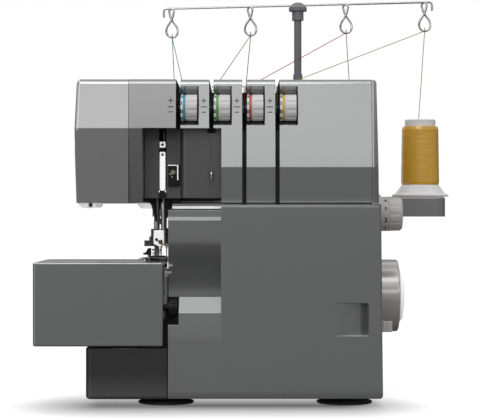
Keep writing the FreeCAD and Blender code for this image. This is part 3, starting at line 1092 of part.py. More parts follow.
belt_half = PULLEY_WIDTH / 2 - 1.3
belt_ring = belt_face(BODY_GAP + BELT_THICKNESS).cut(belt_face(BODY_GAP))
belt_ring.translate(V(belt_x - belt_half, 0, 0))
export("drive_belt", belt_ring.extrude(V(2 * belt_half, 0, 0)))
motor = join(rod_x(motor_left, motor_right, MOTOR_Y, MOTOR_Z, MOTOR_DIAMETER),
             rod_x(motor_left - 6, motor_left, MOTOR_Y, MOTOR_Z, 20.0))
saddle = box(motor_left + 8, motor_right - 8, MOTOR_Y - 20, MOTOR_Y + 20, 26.0, MOTOR_Z)
motor = join(motor, saddle).cut(rod_x(motor_right - 12, motor_right + 1, MOTOR_Y, MOTOR_Z, 6.1))
export("motor", motor)

# Handwheel: fluted rim and domed end
wheel_left = BODY_RIGHT_X + 2.0
wheel_right = wheel_left + WHEEL_LENGTH
wheel_r = WHEEL_DIAMETER / 2
wheel_points = [(0, SHAFT_DIAMETER / 2 + 0.03), (0, wheel_r - 6), (2.5, wheel_r - 1.2), (4.5, wheel_r),
                (WHEEL_LENGTH - 7.5, wheel_r), (WHEEL_LENGTH - 6.1, wheel_r - 0.8),
                (WHEEL_LENGTH - 4.4, wheel_r * 0.74), (WHEEL_LENGTH - 3.9, wheel_r * 0.72),
                (WHEEL_LENGTH - 1.8, wheel_r * 0.67), (WHEEL_LENGTH - 0.5, wheel_r * 0.46),
                (WHEEL_LENGTH, wheel_r * 0.23), (WHEEL_LENGTH, 0), (WHEEL_LENGTH - 5.5, 0),
                (WHEEL_LENGTH - 5.5, SHAFT_DIAMETER / 2 + 0.03)]
wheel = spin(wheel_points, V(wheel_left, SHAFT_Y, SHAFT_Z), V(1, 0, 0))
wheel_notches = 36
wheel_cuts = []
for i in range(wheel_notches):
    angle = 2 * math.pi * i / wheel_notches
    wheel_cuts.append(rod_x(wheel_right - 3.6, wheel_right + 1,
                            SHAFT_Y + math.cos(angle) * wheel_r * 0.715,
                            SHAFT_Z + math.sin(angle) * wheel_r * 0.715, 1.8))
export("handwheel", wheel.cut(wheel_cuts))

# Stitch-length dial
dial_left = BODY_RIGHT_X + 0.6
dial_r = STITCH_DIAL_DIAMETER / 2
dial = spin([(-9.0, 0), (-9.0, 5.9), (0, 5.9), (0, dial_r - 1.0), (1.2, dial_r), (9.6, dial_r),
             (9.9, dial_r - 0.4),
             (10.3, dial_r - 0.4), (10.6, dial_r), (STITCH_DIAL_LENGTH - 2, dial_r - 0.4),
             (STITCH_DIAL_LENGTH, dial_r - 2.2),
             (STITCH_DIAL_LENGTH, 0)], V(dial_left, STITCH_DIAL_Y, STITCH_DIAL_Z), V(1, 0, 0))
ribs = 12
rib_centre = dial_r + GRIP_DIAMETER / 2 - 1.2 * GRIP_DEPTH
dial_cuts = []
for i in range(ribs):
    angle = 2 * math.pi * i / ribs
    dial_cuts.append(rod_x(dial_left + 11.5, dial_left + STITCH_DIAL_LENGTH + 1,
                           STITCH_DIAL_Y + math.cos(angle) * rib_centre,
                           STITCH_DIAL_Z + math.sin(angle) * rib_centre, GRIP_DIAMETER))
export("stitch_length_dial", dial.cut(dial_cuts))

# Differential-feed lever: arm inside the side cover, ribbed tab outside
tab_y = LEVER_PIVOT_Y - LEVER_REACH
lever = join(rod_x(188.0, 193.0, LEVER_PIVOT_Y, LEVER_PIVOT_Z, 12.0),
             box(189.0, 192.0, tab_y - 3, LEVER_PIVOT_Y, LEVER_PIVOT_Z - 4, LEVER_PIVOT_Z + 4),
             box(189.0, BODY_RIGHT_X + 2, tab_y - 2.4, tab_y + 2.4, LEVER_PIVOT_Z - 4,
                 LEVER_PIVOT_Z + 4),
             box(BODY_RIGHT_X + 1, BODY_RIGHT_X + 13, tab_y - 3.4, tab_y + 3.4, LEVER_PIVOT_Z - 5,
                 LEVER_PIVOT_Z + 5))
lever_cuts = [box(BODY_RIGHT_X, BODY_RIGHT_X + 12, tab_y - 9, tab_y - 2.7, LEVER_PIVOT_Z - 3.9 + 2.2 * i,
                  LEVER_PIVOT_Z - 2.9 + 2.2 * i) for i in range(4)]
lever = lever.cut(lever_cuts + [rod_x(180, 194, LEVER_PIVOT_Y, LEVER_PIVOT_Z, 6.1)])
export("differential_lever", lever)
lever_pin = rod_x(180.0, 194.0, LEVER_PIVOT_Y, LEVER_PIVOT_Z, 6.0)
export("pins_and_bushes", lift_pin, lever_pin, *bushes)

# Power switch and inlet
rocker_half = 10.0
rocker = slab_y([(-3.0, 5.6), (1.6, 6.4), (0.6, 0), (1.6, -6.4), (-3.0, -5.6)], SWITCH_Y - rocker_half,
                SWITCH_Y + rocker_half)
rocker.translate(V(BODY_RIGHT_X, 0, SWITCH_Z))
export("power_switch", rocker)
inlet = box(191.0, BODY_RIGHT_X - 0.4, SWITCH_Y - 11.7, SWITCH_Y + 11.7, INLET_Z - 8.7, INLET_Z + 8.7)
inlet = inlet.cut(box(194.0, BODY_RIGHT_X + 1, SWITCH_Y - 9.0, SWITCH_Y + 9.0, INLET_Z - 6.0,
                      INLET_Z + 6.0))
inlet = inlet.fuse([rod_x(193.5, BODY_RIGHT_X - 1.5, SWITCH_Y + 5 * side, INLET_Z, 2.4)
                    for side in (-1, 1)])
export("power_inlet", inlet.removeSplitter())

# Tension dials, discs and posts
dial_colours = ("blue", "green", "red", "yellow")
posts = []
discs = []
for slot_x, colour in zip(SLOT_XS, dial_colours):
    left = slot_x + SLOT_WIDTH / 2 + 0.4
    right = slot_x + SLOT_WIDTH / 2 + WINDOW_WIDTH - 0.7
    radius = DIAL_DIAMETER / 2
    knob_points = [(0, POST_DIAMETER / 2 + RUN_GAP), (0, radius - 0.4), (0.4, radius), (3.2, radius),
                   (3.4, radius - 0.4),
                   (4.9, radius - 0.4), (5.1, radius), (right - left - 0.8, radius),
                   (right - left, radius - 0.8),
                   (right - left, POST_DIAMETER / 2 + RUN_GAP)]
    tension = spin(knob_points, V(left, DIAL_Y, DIAL_Z), V(1, 0, 0))
    tension_cuts = []
    for i in range(GRIP_COUNT):
        angle = 2 * math.pi * (i + 0.4) / GRIP_COUNT
        grip_centre = radius + GRIP_DIAMETER / 2 - GRIP_DEPTH
        tension_cuts.append(rod_x(left + 6.0, right + 1, DIAL_Y + math.cos(angle) * grip_centre,
                                  DIAL_Z + math.sin(angle) * grip_centre, GRIP_DIAMETER))
    export("tension_dial_" + colour, tension.cut(tension_cuts))
    posts.append(rod_x(slot_x - SLOT_WIDTH / 2 - CHANNEL_WALL + 0.1, right + 0.3, DIAL_Y, DIAL_Z,
                       POST_DIAMETER))
    for offset in (-0.75, 0.75):
        disc = spin([(-DISC_THICKNESS / 2, POST_DIAMETER / 2 + 0.03),
                     (-DISC_THICKNESS / 2, DISC_DIAMETER / 2 - 1),
                     (0, DISC_DIAMETER / 2), (DISC_THICKNESS / 2, DISC_DIAMETER / 2 - 1),
                     (DISC_THICKNESS / 2, POST_DIAMETER / 2 + 0.03)], V(slot_x + offset, DIAL_Y, DIAL_Z),
                    V(1, 0, 0))
        discs.append(disc)
export("tension_units", *posts, *discs)

# Slot-end thread hooks on the arm top
slot_hooks = []
for slot_x in SLOT_XS:
    root = slot_x + 7
    slot_hooks.append(wire_form([(V(root, 96, ARM_TOP_Z - 8), V(0, 0, 1)),
                                 (V(root, 96, ARM_TOP_Z + 1.5), V(0, 0, 1)),
                                 (V(root - 3, 96, ARM_TOP_Z + 4.5), V(-1, 0, 0)),
                                 (V(slot_x - 2, 96, ARM_TOP_Z + 4.5), V(-1, 0, 0))], 2.0))
export("thread_hooks", head_guide, hook, *slot_hooks)

# Spool stand with its pins
stand_x0 = POLE_X - STAND_HALF_LENGTH
stand_x1 = POLE_X + STAND_HALF_LENGTH
stand_rear = STAND_FRONT_Y + STAND_DEPTH
stand_low = STAND_TOP_Z - STAND_HEIGHT
stand = slab_z([(stand_x0, STAND_FRONT_Y), (stand_x0, stand_rear), (stand_x1, stand_rear),
                (stand_x1, STAND_FRONT_Y)],
               stand_low, STAND_TOP_Z, {0: 10.0, 1: 18.0, 2: 18.0, 3: 10.0})
stand = soften(stand, 2.0, lambda b: flat(b.ZMin, b.ZMax, STAND_TOP_Z))
stand_room = slab_z([(stand_x0 + WALL, STAND_FRONT_Y + WALL), (stand_x0 + WALL, stand_rear - WALL),
                     (stand_x1 - WALL, stand_rear - WALL), (stand_x1 - WALL, STAND_FRONT_Y + WALL)],
                    stand_low - 1, STAND_TOP_Z - 3, {0: 7.5, 1: 15.5, 2: 15.5, 3: 7.5})
stand_bosses = [rod_z(stand_low + 1, STAND_TOP_Z - 1, x, CONE_Y, 16.0) for x in CONE_XS]
stand_bosses.append(rod_z(stand_low - 4, STAND_TOP_Z + 4, POLE_X, CONE_Y, 20.0))
stand_bosses.append(box(POLE_X - 34, POLE_X + 34, BODY_REAR_Y, STAND_FRONT_Y + 2, stand_low,
                        STAND_TOP_Z - 8))
stand = stand.cut(stand_room).fuse(stand_bosses)
stand = stand.cut([rod_z(stand_low + 4, STAND_TOP_Z + 9, x, CONE_Y, SPOOL_PIN_DIAMETER + 0.06)
                   for x in CONE_XS])
stand = stand.cut(rod_z(stand_low, STAND_TOP_Z + 9, POLE_X, CONE_Y,
                        LOWER_POLE_DIAMETER + 0.06)).removeSplitter()
export("spool_stand", stand)
pins = []
for x in CONE_XS:
    pins.append(spin([(stand_low + 4, 0), (stand_low + 4, SPOOL_PIN_DIAMETER / 2),
                      (252.0, SPOOL_PIN_DIAMETER / 2),
                      (256.0, 2.0), (256.0, 0)], V(x, CONE_Y, 0), V(0, 0, 1)))
export("spool_pins", *pins)

# Telescopic pole, hub and guide bar
pole_low = stand_low + 4 + POLE_TRAVEL + POLE_END_GAP
lower_tube = rod_z(stand_low, LOWER_POLE_TOP_Z, POLE_X, CONE_Y, LOWER_POLE_DIAMETER).cut(
    rod_z(stand_low + 4, LOWER_POLE_TOP_Z + 1, POLE_X, CONE_Y, POLE_DIAMETER + 2 * RUN_GAP))
export("pole_lower_tube", lower_tube)
upper_tube = rod_z(pole_low, HUB_BOTTOM_Z + 6, POLE_X, CONE_Y, POLE_DIAMETER).cut(
    rod_z(pole_low - 1, HUB_BOTTOM_Z + 2, POLE_X, CONE_Y, POLE_DIAMETER - 2.0))
export("pole_upper_tube", upper_tube)
hub = spin([(HUB_BOTTOM_Z, POLE_DIAMETER / 2 + 0.03), (HUB_BOTTOM_Z, 6.0), (HUB_BOTTOM_Z + 9.6, 6.0),
            (HUB_BOTTOM_Z + 9.6, 9.3),
            (HUB_BOTTOM_Z + 13.2, 9.3), (HUB_BOTTOM_Z + 14.4, 8.0), (HUB_BOTTOM_Z + 17.6, 5.0),
            (HUB_BOTTOM_Z + 18.4, 3.0),
            (HUB_BOTTOM_Z + 18.4, 0), (HUB_BOTTOM_Z + 6.03, 0),
            (HUB_BOTTOM_Z + 6.03, POLE_DIAMETER / 2 + 0.03)],
           V(POLE_X, CONE_Y, 0), V(0, 0, 1))
bar_middle = V(POLE_X, CONE_Y, BAR_Z)
hub_bore = rod_x(POLE_X - 20, POLE_X + 20, CONE_Y, BAR_Z, BAR_WIRE + 0.06)
hub_bore.rotate(bar_middle, V(0, -1, 0), BAR_TILT_DEG)
hub = hub.cut(hub_bore)
export("pole_hub", *hub.Solids)


def hanging_loop(x):
    """Wire loop below the bar: two strands that cross and close in a drop."""
    half = LOOP_WIDTH / 2
    side = BAR_WIRE * 0.62
    top = BAR_Z - 0.4
    neck = BAR_Z - LOOP_NECK
    low = BAR_Z - LOOP_DROP + BAR_WIRE / 2
    wide = low + half * 0.95
    return wire_form([(V(x + 0.5, CONE_Y - side * 0.9, top), V(1, -0.2, -0.25)),
                      (V(x + 2.4, CONE_Y - side * 1.2, top - 3.2), V(-0.25, 0, -1)),
                      (V(x, CONE_Y - side, neck), V(-0.55, 0, -1)),
                      (V(x - half + BAR_WIRE / 2, CONE_Y - side * 0.4, wide), V(0, 0.12, -1)),
                      (V(x, CONE_Y, low), V(1, 0.12, 0)),
                      (V(x + half - BAR_WIRE / 2, CONE_Y + side * 0.4, wide), V(0, 0.12, 1)),
                      (V(x, CONE_Y + side, neck), V(-0.55, 0, 1)),
                      (V(x - 2.4, CONE_Y + side * 1.2, top - 3.2), V(-0.25, 0, 1)),
                      (V(x - 0.5, CONE_Y + side * 0.9, top), V(1, -0.2, 0.25))], BAR_WIRE)


bar = rod_x(POLE_X - BAR_HALF_LENGTH, POLE_X + BAR_HALF_LENGTH, CONE_Y, BAR_Z, BAR_WIRE)
ends = []
for way in (-1, 1):
    tip = POLE_X + way * BAR_HALF_LENGTH
    ends.append(wire_form([(V(tip, CONE_Y, BAR_Z), V(way, 0, 0)),
                           (V(tip + way * 3, CONE_Y, BAR_Z - 3), V(0, 0, -1)),
                           (V(tip + way * 3, CONE_Y, BAR_Z - 9), V(0, 0, -1))], BAR_WIRE))
bar = bar.fuse(ends + [hanging_loop(x) for x in LOOP_XS]).removeSplitter()
bar.rotate(bar_middle, V(0, -1, 0), BAR_TILT_DEG)
export("guide_bar", *bar.Solids)

# Cones of thread
core_r = CONE_CORE_DIAMETER / 2
base_r = CONE_BASE_DIAMETER / 2
wind_r = WINDING_DIAMETER / 2
bore = SPOOL_PIN_DIAMETER / 2 + 0.1
for x, colour in zip(CONE_XS, dial_colours):
    core = spin([(0, bore), (0, base_r), (1.6, base_r), (4.0, base_r - 4.0), (CONE_FLARE_HEIGHT, wind_r),
                 (CONE_FLARE_HEIGHT, core_r),
                 (CONE_HEIGHT - 1, core_r), (CONE_HEIGHT, core_r - 1), (CONE_HEIGHT, core_r - 3),
                 (62.0, core_r - 3),
                 (60.0, bore)], V(x, CONE_Y, CONE_Z), V(0, 0, 1))
    wind_low = CONE_FLARE_HEIGHT + 0.1
    winding = spin([(wind_low, core_r + 0.03), (wind_low, wind_r - 0.3), (wind_low + 3, wind_r + 0.3),
                    (wind_low + WINDING_HEIGHT - 3, wind_r - 0.5),
                    (wind_low + WINDING_HEIGHT, wind_r - 1.2),
                    (wind_low + WINDING_HEIGHT, core_r + 0.03)], V(x, CONE_Y, CONE_Z), V(0, 0, 1))
    export("thread_cone_" + colour, core, winding)

# Threads from cone to loop, to the slot end and to the discs
threads = []
tilt = math.radians(BAR_TILT_DEG)
wire_drop = LOOP_DROP - BAR_WIRE / 2
around = BAR_WIRE / 2 + THREAD_DIAMETER / 2 + 0.4
for x, loop_x, slot_x in zip(CONE_XS, LOOP_XS, SLOT_XS):
    reach = loop_x - POLE_X
    hang_x = POLE_X + reach * math.cos(tilt) + wire_drop * math.sin(tilt)
    wire_z = BAR_Z + reach * math.sin(tilt) - wire_drop * math.cos(tilt)
    path = [V(x, CONE_Y + core_r - 1.5, CONE_Z + CONE_HEIGHT + 0.4), V(hang_x, CONE_Y + around, wire_z),
            V(hang_x, CONE_Y, wire_z + around * 1.9), V(hang_x, CONE_Y - around, wire_z),
            V(slot_x, 97.5, ARM_TOP_Z + 2.0), V(slot_x, ARM_FACE_Y + SLOT_FRONT_REACH,
                                                ARM_TOP_Z - SLOT_DEPTH + 0.7),
            V(slot_x, DIAL_Y + 2.0, DIAL_Z + DISC_DIAMETER / 2 - 1.5)]
    runs = []
    for start, end in zip(path[:-1], path[1:]):
        runs.append(Part.makeCylinder(THREAD_DIAMETER / 2, (end - start).Length, start, end - start))
    knots = [Part.makeSphere(THREAD_DIAMETER / 2, spot) for spot in path[1:-1]]
    threads.append(runs[0].fuse(runs[1:] + knots).removeSplitter())
export("threads", *threads)
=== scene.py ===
"""Looks of the four-thread serger: camera, threads, finishes, small trim and studio light."""
import math

import bmesh
import bpy
from mathutils import Matrix, Vector


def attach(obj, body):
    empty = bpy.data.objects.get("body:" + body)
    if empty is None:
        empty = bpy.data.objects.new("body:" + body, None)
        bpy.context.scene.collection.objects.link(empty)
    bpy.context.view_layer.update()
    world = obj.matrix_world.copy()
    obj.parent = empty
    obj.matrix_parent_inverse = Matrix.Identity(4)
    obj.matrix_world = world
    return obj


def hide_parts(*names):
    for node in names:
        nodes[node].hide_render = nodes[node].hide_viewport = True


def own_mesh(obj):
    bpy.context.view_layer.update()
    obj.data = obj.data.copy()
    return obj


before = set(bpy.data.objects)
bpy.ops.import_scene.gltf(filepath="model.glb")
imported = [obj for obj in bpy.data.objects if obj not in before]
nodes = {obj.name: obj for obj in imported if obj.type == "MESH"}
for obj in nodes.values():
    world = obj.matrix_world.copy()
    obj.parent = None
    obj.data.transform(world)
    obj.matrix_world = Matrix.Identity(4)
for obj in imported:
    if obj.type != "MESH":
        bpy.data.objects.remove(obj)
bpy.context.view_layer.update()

scene = bpy.context.scene

# Working coordinates of the part's source, in millimetres: needle at X = 0, Y = 0, table at Z = 0
ORIGIN_X = 86.425
ORIGIN_Y = 53.5


def at(x, y, z):
    """Point of the working coordinates as a point of the row frame, in metres."""
    return Vector(((x - ORIGIN_X) / 1000, (y - ORIGIN_Y) / 1000, z / 1000))


def worked(spot):
    """Point of the row frame in the working coordinates, in millimetres."""
    return spot.x * 1000 + ORIGIN_X, spot.y * 1000 + ORIGIN_Y, spot.z * 1000


def link(obj, body=None):
    """Put an object in the scene, riding on a body where one is named."""
    scene.collection.objects.link(obj)
    if body:
        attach(obj, body)
    return obj


def dress(obj, *materials):
    """Give an object its materials in order."""
    obj.data.materials.clear()
    for mat in materials:
        obj.data.materials.append(mat)
    return obj


# Camera, level and square to the front
CAMERA_X = 72.0
CAMERA_Z = 177.0
CAMERA_DISTANCE = 1500.0
FRONT_Y = -78.0
FRAME_WIDTH = 432.0
SENSOR_WIDTH = 36.0
camera_data = bpy.data.cameras.new("camera")
camera_data.sensor_width = SENSOR_WIDTH
camera_data.lens = SENSOR_WIDTH * CAMERA_DISTANCE / FRAME_WIDTH
camera = link(bpy.data.objects.new("camera", camera_data))
camera.location = at(CAMERA_X, FRONT_Y - CAMERA_DISTANCE, CAMERA_Z)
camera.rotation_euler = (math.radians(90), 0, 0)
scene.camera = camera

# Node-based finishes
CLOUD_DETAIL = 3.0
CLOUD_LOW = 0.3
CLOUD_HIGH = 0.7
FINE_DETAIL = 2.0
RELIEF_DEPTH = 0.0002
ROUNDING_SAMPLES = 4
COAT_ROUGHNESS = 0.12


def finish_of(name, low, high, rough, metallic=0.0, grain=300.0, rough_spread=0.06, bump=0.05,
              bump_scale=900.0, coat=0.0, edge=0.0, stretch=(1, 1, 1), shine=0.5, bow=0.0, glow=0.0):
    """Material whose colour, roughness and relief vary with noise over the piece's own coordinates.

    An edge is the radius at which corners are shaded as round, a bow tilts the shading upwards, and a glow
    adds white light.
    """
    mat = bpy.data.materials.new(name)
    mat.use_nodes = True
    tree = mat.node_tree
    join = tree.links.new
    shader = tree.nodes["Principled BSDF"]
    shader.inputs["Metallic"].default_value = metallic
    shader.inputs["Specular IOR Level"].default_value = shine
    shader.inputs["Coat Weight"].default_value = coat
    shader.inputs["Coat Roughness"].default_value = COAT_ROUGHNESS
    shader.inputs["Emission Color"].default_value = (1, 1, 1, 1)
    shader.inputs["Emission Strength"].default_value = glow
    place = tree.nodes.new("ShaderNodeTexCoord")
    scaled = tree.nodes.new("ShaderNodeMapping")
    scaled.inputs["Scale"].default_value = stretch
    join(place.outputs["Object"], scaled.inputs["Vector"])
    cloud = tree.nodes.new("ShaderNodeTexNoise")
    cloud.inputs["Scale"].default_value = grain
    cloud.inputs["Detail"].default_value = CLOUD_DETAIL
    join(scaled.outputs["Vector"], cloud.inputs["Vector"])
    ramp = tree.nodes.new("ShaderNodeValToRGB")
    ramp.name = "colour"
    ramp.color_ramp.elements[0].position = CLOUD_LOW
    ramp.color_ramp.elements[0].color = (*low, 1)
    ramp.color_ramp.elements[1].position = CLOUD_HIGH
    ramp.color_ramp.elements[1].color = (*high, 1)
    join(cloud.outputs["Fac"], ramp.inputs["Fac"])
    join(ramp.outputs["Color"], shader.inputs["Base Color"])
    gloss = tree.nodes.new("ShaderNodeMapRange")
    gloss.inputs["To Min"].default_value = rough - rough_spread
    gloss.inputs["To Max"].default_value = rough + rough_spread
    join(cloud.outputs["Fac"], gloss.inputs["Value"])
    join(gloss.outputs["Result"], shader.inputs["Roughness"])
    fine = tree.nodes.new("ShaderNodeTexNoise")
    fine.inputs["Scale"].default_value = bump_scale
    fine.inputs["Detail"].default_value = FINE_DETAIL
    join(scaled.outputs["Vector"], fine.inputs["Vector"])
    relief = tree.nodes.new("ShaderNodeBump")
    relief.inputs["Strength"].default_value = bump
    relief.inputs["Distance"].default_value = RELIEF_DEPTH
    join(fine.outputs["Fac"], relief.inputs["Height"])
    join(relief.outputs["Normal"], shader.inputs["Normal"])
    if edge:
        rounding = tree.nodes.new("ShaderNodeBevel")
        rounding.samples = ROUNDING_SAMPLES
        rounding.inputs["Radius"].default_value = edge
        join(rounding.outputs["Normal"], relief.inputs["Normal"])
    if bow:
        shape = tree.nodes.new("ShaderNodeNewGeometry")
        tilt = tree.nodes.new("ShaderNodeVectorMath")
        tilt.inputs[1].default_value = (0, 0, bow)
        join(shape.outputs["Normal"], tilt.inputs[0])
        unit = tree.nodes.new("ShaderNodeVectorMath")
        unit.operation = "NORMALIZE"
        join(tilt.outputs["Vector"], unit.inputs[0])
        join(unit.outputs["Vector"], relief.inputs["Normal"])
    return mat


def enamel(name, low, high):
    """Metallic paint of the casing."""
    return finish_of(name, low, high, 0.22, metallic=0.85, grain=1500, rough_spread=0.02, bump=0.012,
                     bump_scale=500, coat=0.15, edge=0.0006)


def grey(value, warm=0.0):
    """Neutral linear colour, a little warmer where asked."""
    return (value * (1 + warm), value, value * (1 - warm))


def own_axes(mat):
    """Sockets X, Y and Z of the coordinates that a finish is laid over."""
    tree = mat.node_tree
    place = next(n for n in tree.nodes if n.type == "TEX_COORD")
    split = tree.nodes.new("ShaderNodeSeparateXYZ")
    tree.links.new(place.outputs["Object"], split.inputs["Vector"])
    return split.outputs


def banded(mat, start, stops):
    """Colour a turned piece in bands along X: start in working millimetres, then (width, colour) stops."""
    tree = mat.node_tree
    length = sum(width for width, _ in stops)
    share = tree.nodes.new("ShaderNodeMapRange")
    share.inputs["From Min"].default_value = at(start, 0, 0).x
    share.inputs["From Max"].default_value = at(start + length, 0, 0).x
    tree.links.new(own_axes(mat)["X"], share.inputs["Value"])
    bands = tree.nodes.new("ShaderNodeValToRGB")
    bands.color_ramp.interpolation = "CONSTANT"
    edge = 0.0
    for i, (width, colour) in enumerate(stops):
        spot = bands.color_ramp.elements[i] if i < 2 else bands.color_ramp.elements.new(edge / length)
        spot.position = edge / length
        spot.color = (*colour, 1)
        edge += width
    tree.links.new(share.outputs["Result"], bands.inputs["Fac"])
    tint = tree.nodes.new("ShaderNodeMix")
    tint.data_type = "RGBA"
    tint.blend_type = "MULTIPLY"
    tint.inputs["Factor"].default_value = 1.0
    tree.links.new(bands.outputs["Color"], tint.inputs["A"])
    tree.links.new(tree.nodes["colour"].outputs["Color"], tint.inputs["B"])
    tree.links.new(tint.outputs["Result"], tree.nodes["Principled BSDF"].inputs["Base Color"])


def shaded(mat, start_z, end_z, gain):
    """Paint light or shade into a finish's colour by a gain from one height to a lower one, in millimetres.
    """
    tree = mat.node_tree
    share = tree.nodes.new("ShaderNodeMapRange")
    share.inputs["From Min"].default_value = start_z / 1000
    share.inputs["From Max"].default_value = end_z / 1000
    share.inputs["To Min"].default_value = 1.0
    share.inputs["To Max"].default_value = gain
    tree.links.new(own_axes(mat)["Z"], share.inputs["Value"])
    scale = tree.nodes.new("ShaderNodeVectorMath")
    scale.operation = "SCALE"
    tree.links.new(tree.nodes["colour"].outputs["Color"], scale.inputs[0])
    tree.links.new(share.outputs["Result"], scale.inputs["Scale"])
    tree.links.new(scale.outputs["Vector"], tree.nodes["Principled BSDF"].inputs["Base Color"])


PAINT = enamel("grey_paint", (0.373, 0.382, 0.378), (0.393, 0.402, 0.398))
# Lighter copy of the casing paint for the face cover: painted light
LIT_FACE_PAINT = enamel("face_paint_painted_light", grey(0.43), grey(0.45))
# Darker copy of the casing paint for the front of the arm's left end: painted shade
SHADED_ARM_PAINT = enamel("arm_paint_painted_shade", grey(0.31), grey(0.33))
# Dark copy of the casing paint, laid where shade is painted on edges, walls and the lip
PAINTED_SHADE = finish_of("painted_shade_paint", grey(0.13), grey(0.15), 0.25, metallic=0.85, grain=1500,
                       rough_spread=0.02, bump=0.012, bump_scale=500)
BASE = finish_of("base_moulding", grey(0.047), grey(0.055), 0.36, metallic=0.6, grain=900, bump=0.05,
                 bump_scale=1400, edge=0.0006)
PANEL = finish_of("dark_panel", grey(0.105), grey(0.12), 0.34, metallic=0.5, grain=900, bump=0.08,
                  bump_scale=1800)
# Black rubber of the feet and belt, also a strip of painted shade along the front cover's top
RUBBER_AND_SHADE = finish_of("black_rubber_and_painted_shade", grey(0.012), grey(0.022), 0.75, grain=500, bump=0.15, bump_scale=2500)
CAST = finish_of("grey_casting", grey(0.2), grey(0.3), 0.6, metallic=0.6, grain=350, bump=0.5,
                 bump_scale=900)
STEEL = finish_of("brushed_steel", grey(0.5), grey(0.62), 0.28, metallic=1.0, grain=900, rough_spread=0.08,
                  bump=0.1, bump_scale=1600, stretch=(1, 1, 0.08))
# Near-white glowing copy of the paint, laid where a highlight is painted on the lip and a ledge
PAINTED_HIGHLIGHT = finish_of("painted_highlight_paint", grey(0.92), grey(0.97), 0.2, metallic=0.6, grain=900, rough_spread=0.02,
                bump=0.0, glow=0.12)
NICKEL = finish_of("bright_nickel", grey(0.9), grey(0.97), 0.24, metallic=0.8, grain=500, bump=0.05, bow=0.13)
POLE_GREY = finish_of("pole_enamel", (0.135, 0.145, 0.155), (0.15, 0.16, 0.17), 0.45, grain=400, bump=0.03,
                      shine=0.35)
DARK_STEEL = finish_of("dark_steel", grey(0.09), grey(0.13), 0.32, metallic=0.9, grain=900, bump=0.1)
BRASS = finish_of("brass", (0.45, 0.33, 0.14), (0.55, 0.41, 0.2), 0.3, metallic=1.0, grain=900, bump=0.06)
CHROME = finish_of("chrome", grey(0.62), grey(0.7), 0.14, metallic=1.0, grain=500, rough_spread=0.05,
                   bump=0.03)
DARK_WIRE = finish_of("dark_chrome_wire", grey(0.55), grey(0.65), 0.2, metallic=0.9, grain=700, bump=0.04)
HUB_GREY = finish_of("hub_plastic", (0.14, 0.15, 0.155), (0.155, 0.165, 0.17), 0.4, grain=700, bump=0.05,
                     bump_scale=2200)
DIAL_GREY = finish_of("dial_plastic", grey(0.5, 0.02), grey(0.56, 0.02), 0.4, grain=700, bump=0.06,
                      bump_scale=2200, edge=0.0003)
STITCH_GREY = finish_of("stitch_dial_plastic", grey(0.42, 0.03), grey(0.46, 0.03), 0.36, grain=700,
                        bump=0.06, bump_scale=2200, edge=0.0003)
WHEEL_GREY = finish_of("wheel_plastic", grey(0.52, 0.02), grey(0.56, 0.02), 0.2, metallic=0.4, grain=700,
                       bump=0.01, rough_spread=0.02, bump_scale=2000, edge=0.0004)
# White of the handwheel's dome, glowing as painted light
GLOWING_DOME_WHITE = finish_of("dome_white_painted_light", grey(0.85), grey(0.92), 0.4, grain=700, bump=0.02, bump_scale=2000,
                       glow=0.25)
# Black plastic, also laid as painted shade in the arm's slots and recesses and in the take-up's gap
BLACK_AND_SHADE = finish_of("black_plastic", grey(0.008), grey(0.013), 0.42, grain=700, bump=0.08, bump_scale=2000,
                  shine=0.2)
LENS = finish_of("milky_lens", grey(0.78, 0.01), grey(0.85, 0.01), 0.25, grain=300, bump=0.03, glow=0.35)
# White of the lug under the head, glowing as painted light
GLOWING_LUG_WHITE = finish_of("lug_white_painted_light", grey(0.66), grey(0.72), 0.38, grain=400, bump=0.05, bump_scale=1500,
                      glow=0.35)
STAND = finish_of("stand_plastic", grey(0.27), grey(0.3), 0.3, metallic=0.6, grain=1500, bump=0.07,
                  bump_scale=1400, edge=0.0005)
WHITE = finish_of("white_plastic", grey(0.66), grey(0.72), 0.38, grain=400, bump=0.05, bump_scale=1500)
INK = finish_of("printed_marks", grey(0.02), grey(0.035), 0.5, grain=2000, bump=0.05)

# Painted shade and painted light towards the table, as start and end height in millimetres and gain at the
# end: the paint darkens at its rounded lower edge, and the base lightens as a painted reflection of the floor
PAINT_PAINTED_SHADE = (15.0, 6.0, 0.55)
BASE_PAINTED_LIGHT = (29.0, 12.0, 2.0)
shaded(PAINT, *PAINT_PAINTED_SHADE)
shaded(BASE, *BASE_PAINTED_LIGHT)

# CAD pieces with one finish; those with several are dressed face by face further down
finishes = {PAINT: ["arm_rear_cover", "cloth_plate", "side_cover", "rear_cover"],
            LIT_FACE_PAINT: ["face_cover"],
            BASE: ["base_pan"],
            PANEL: ["needle_panel"],
            RUBBER_AND_SHADE: ["rubber_feet", "drive_belt"],
            CAST: ["main_frame", "motor"],
            STEEL: ["cover_hinge_rod", "cloth_plate_bracket", "needle_plate", "feed_dogs", "knife_holder",
                    "lower_knife", "pins_and_bushes", "main_shaft", "motor_pulley", "lower_looper",
                    "upper_looper", "needles"],
            CHROME: ["presser_foot", "needle_clamp", "clamp_screws", "screws", "presser_bar", "needle_bar"],
            POLE_GREY: ["pole_lower_tube", "pole_upper_tube"],
            DARK_STEEL: ["foot_holder", "tension_units"],
            DARK_WIRE: ["guide_bar"],
            DIAL_GREY: ["differential_lever"],
            HUB_GREY: ["pole_hub"],
            STITCH_GREY: ["stitch_length_dial"],
            BLACK_AND_SHADE: ["cutting_width_knob", "upper_knife", "power_switch", "power_inlet", "foot_lifter"],
            LENS: ["lamp_lens"],
            STAND: ["spool_stand"],
            WHITE: ["spool_pins"]}
for mat, names in finishes.items():
    for name in names:
        dress(nodes[name], mat)

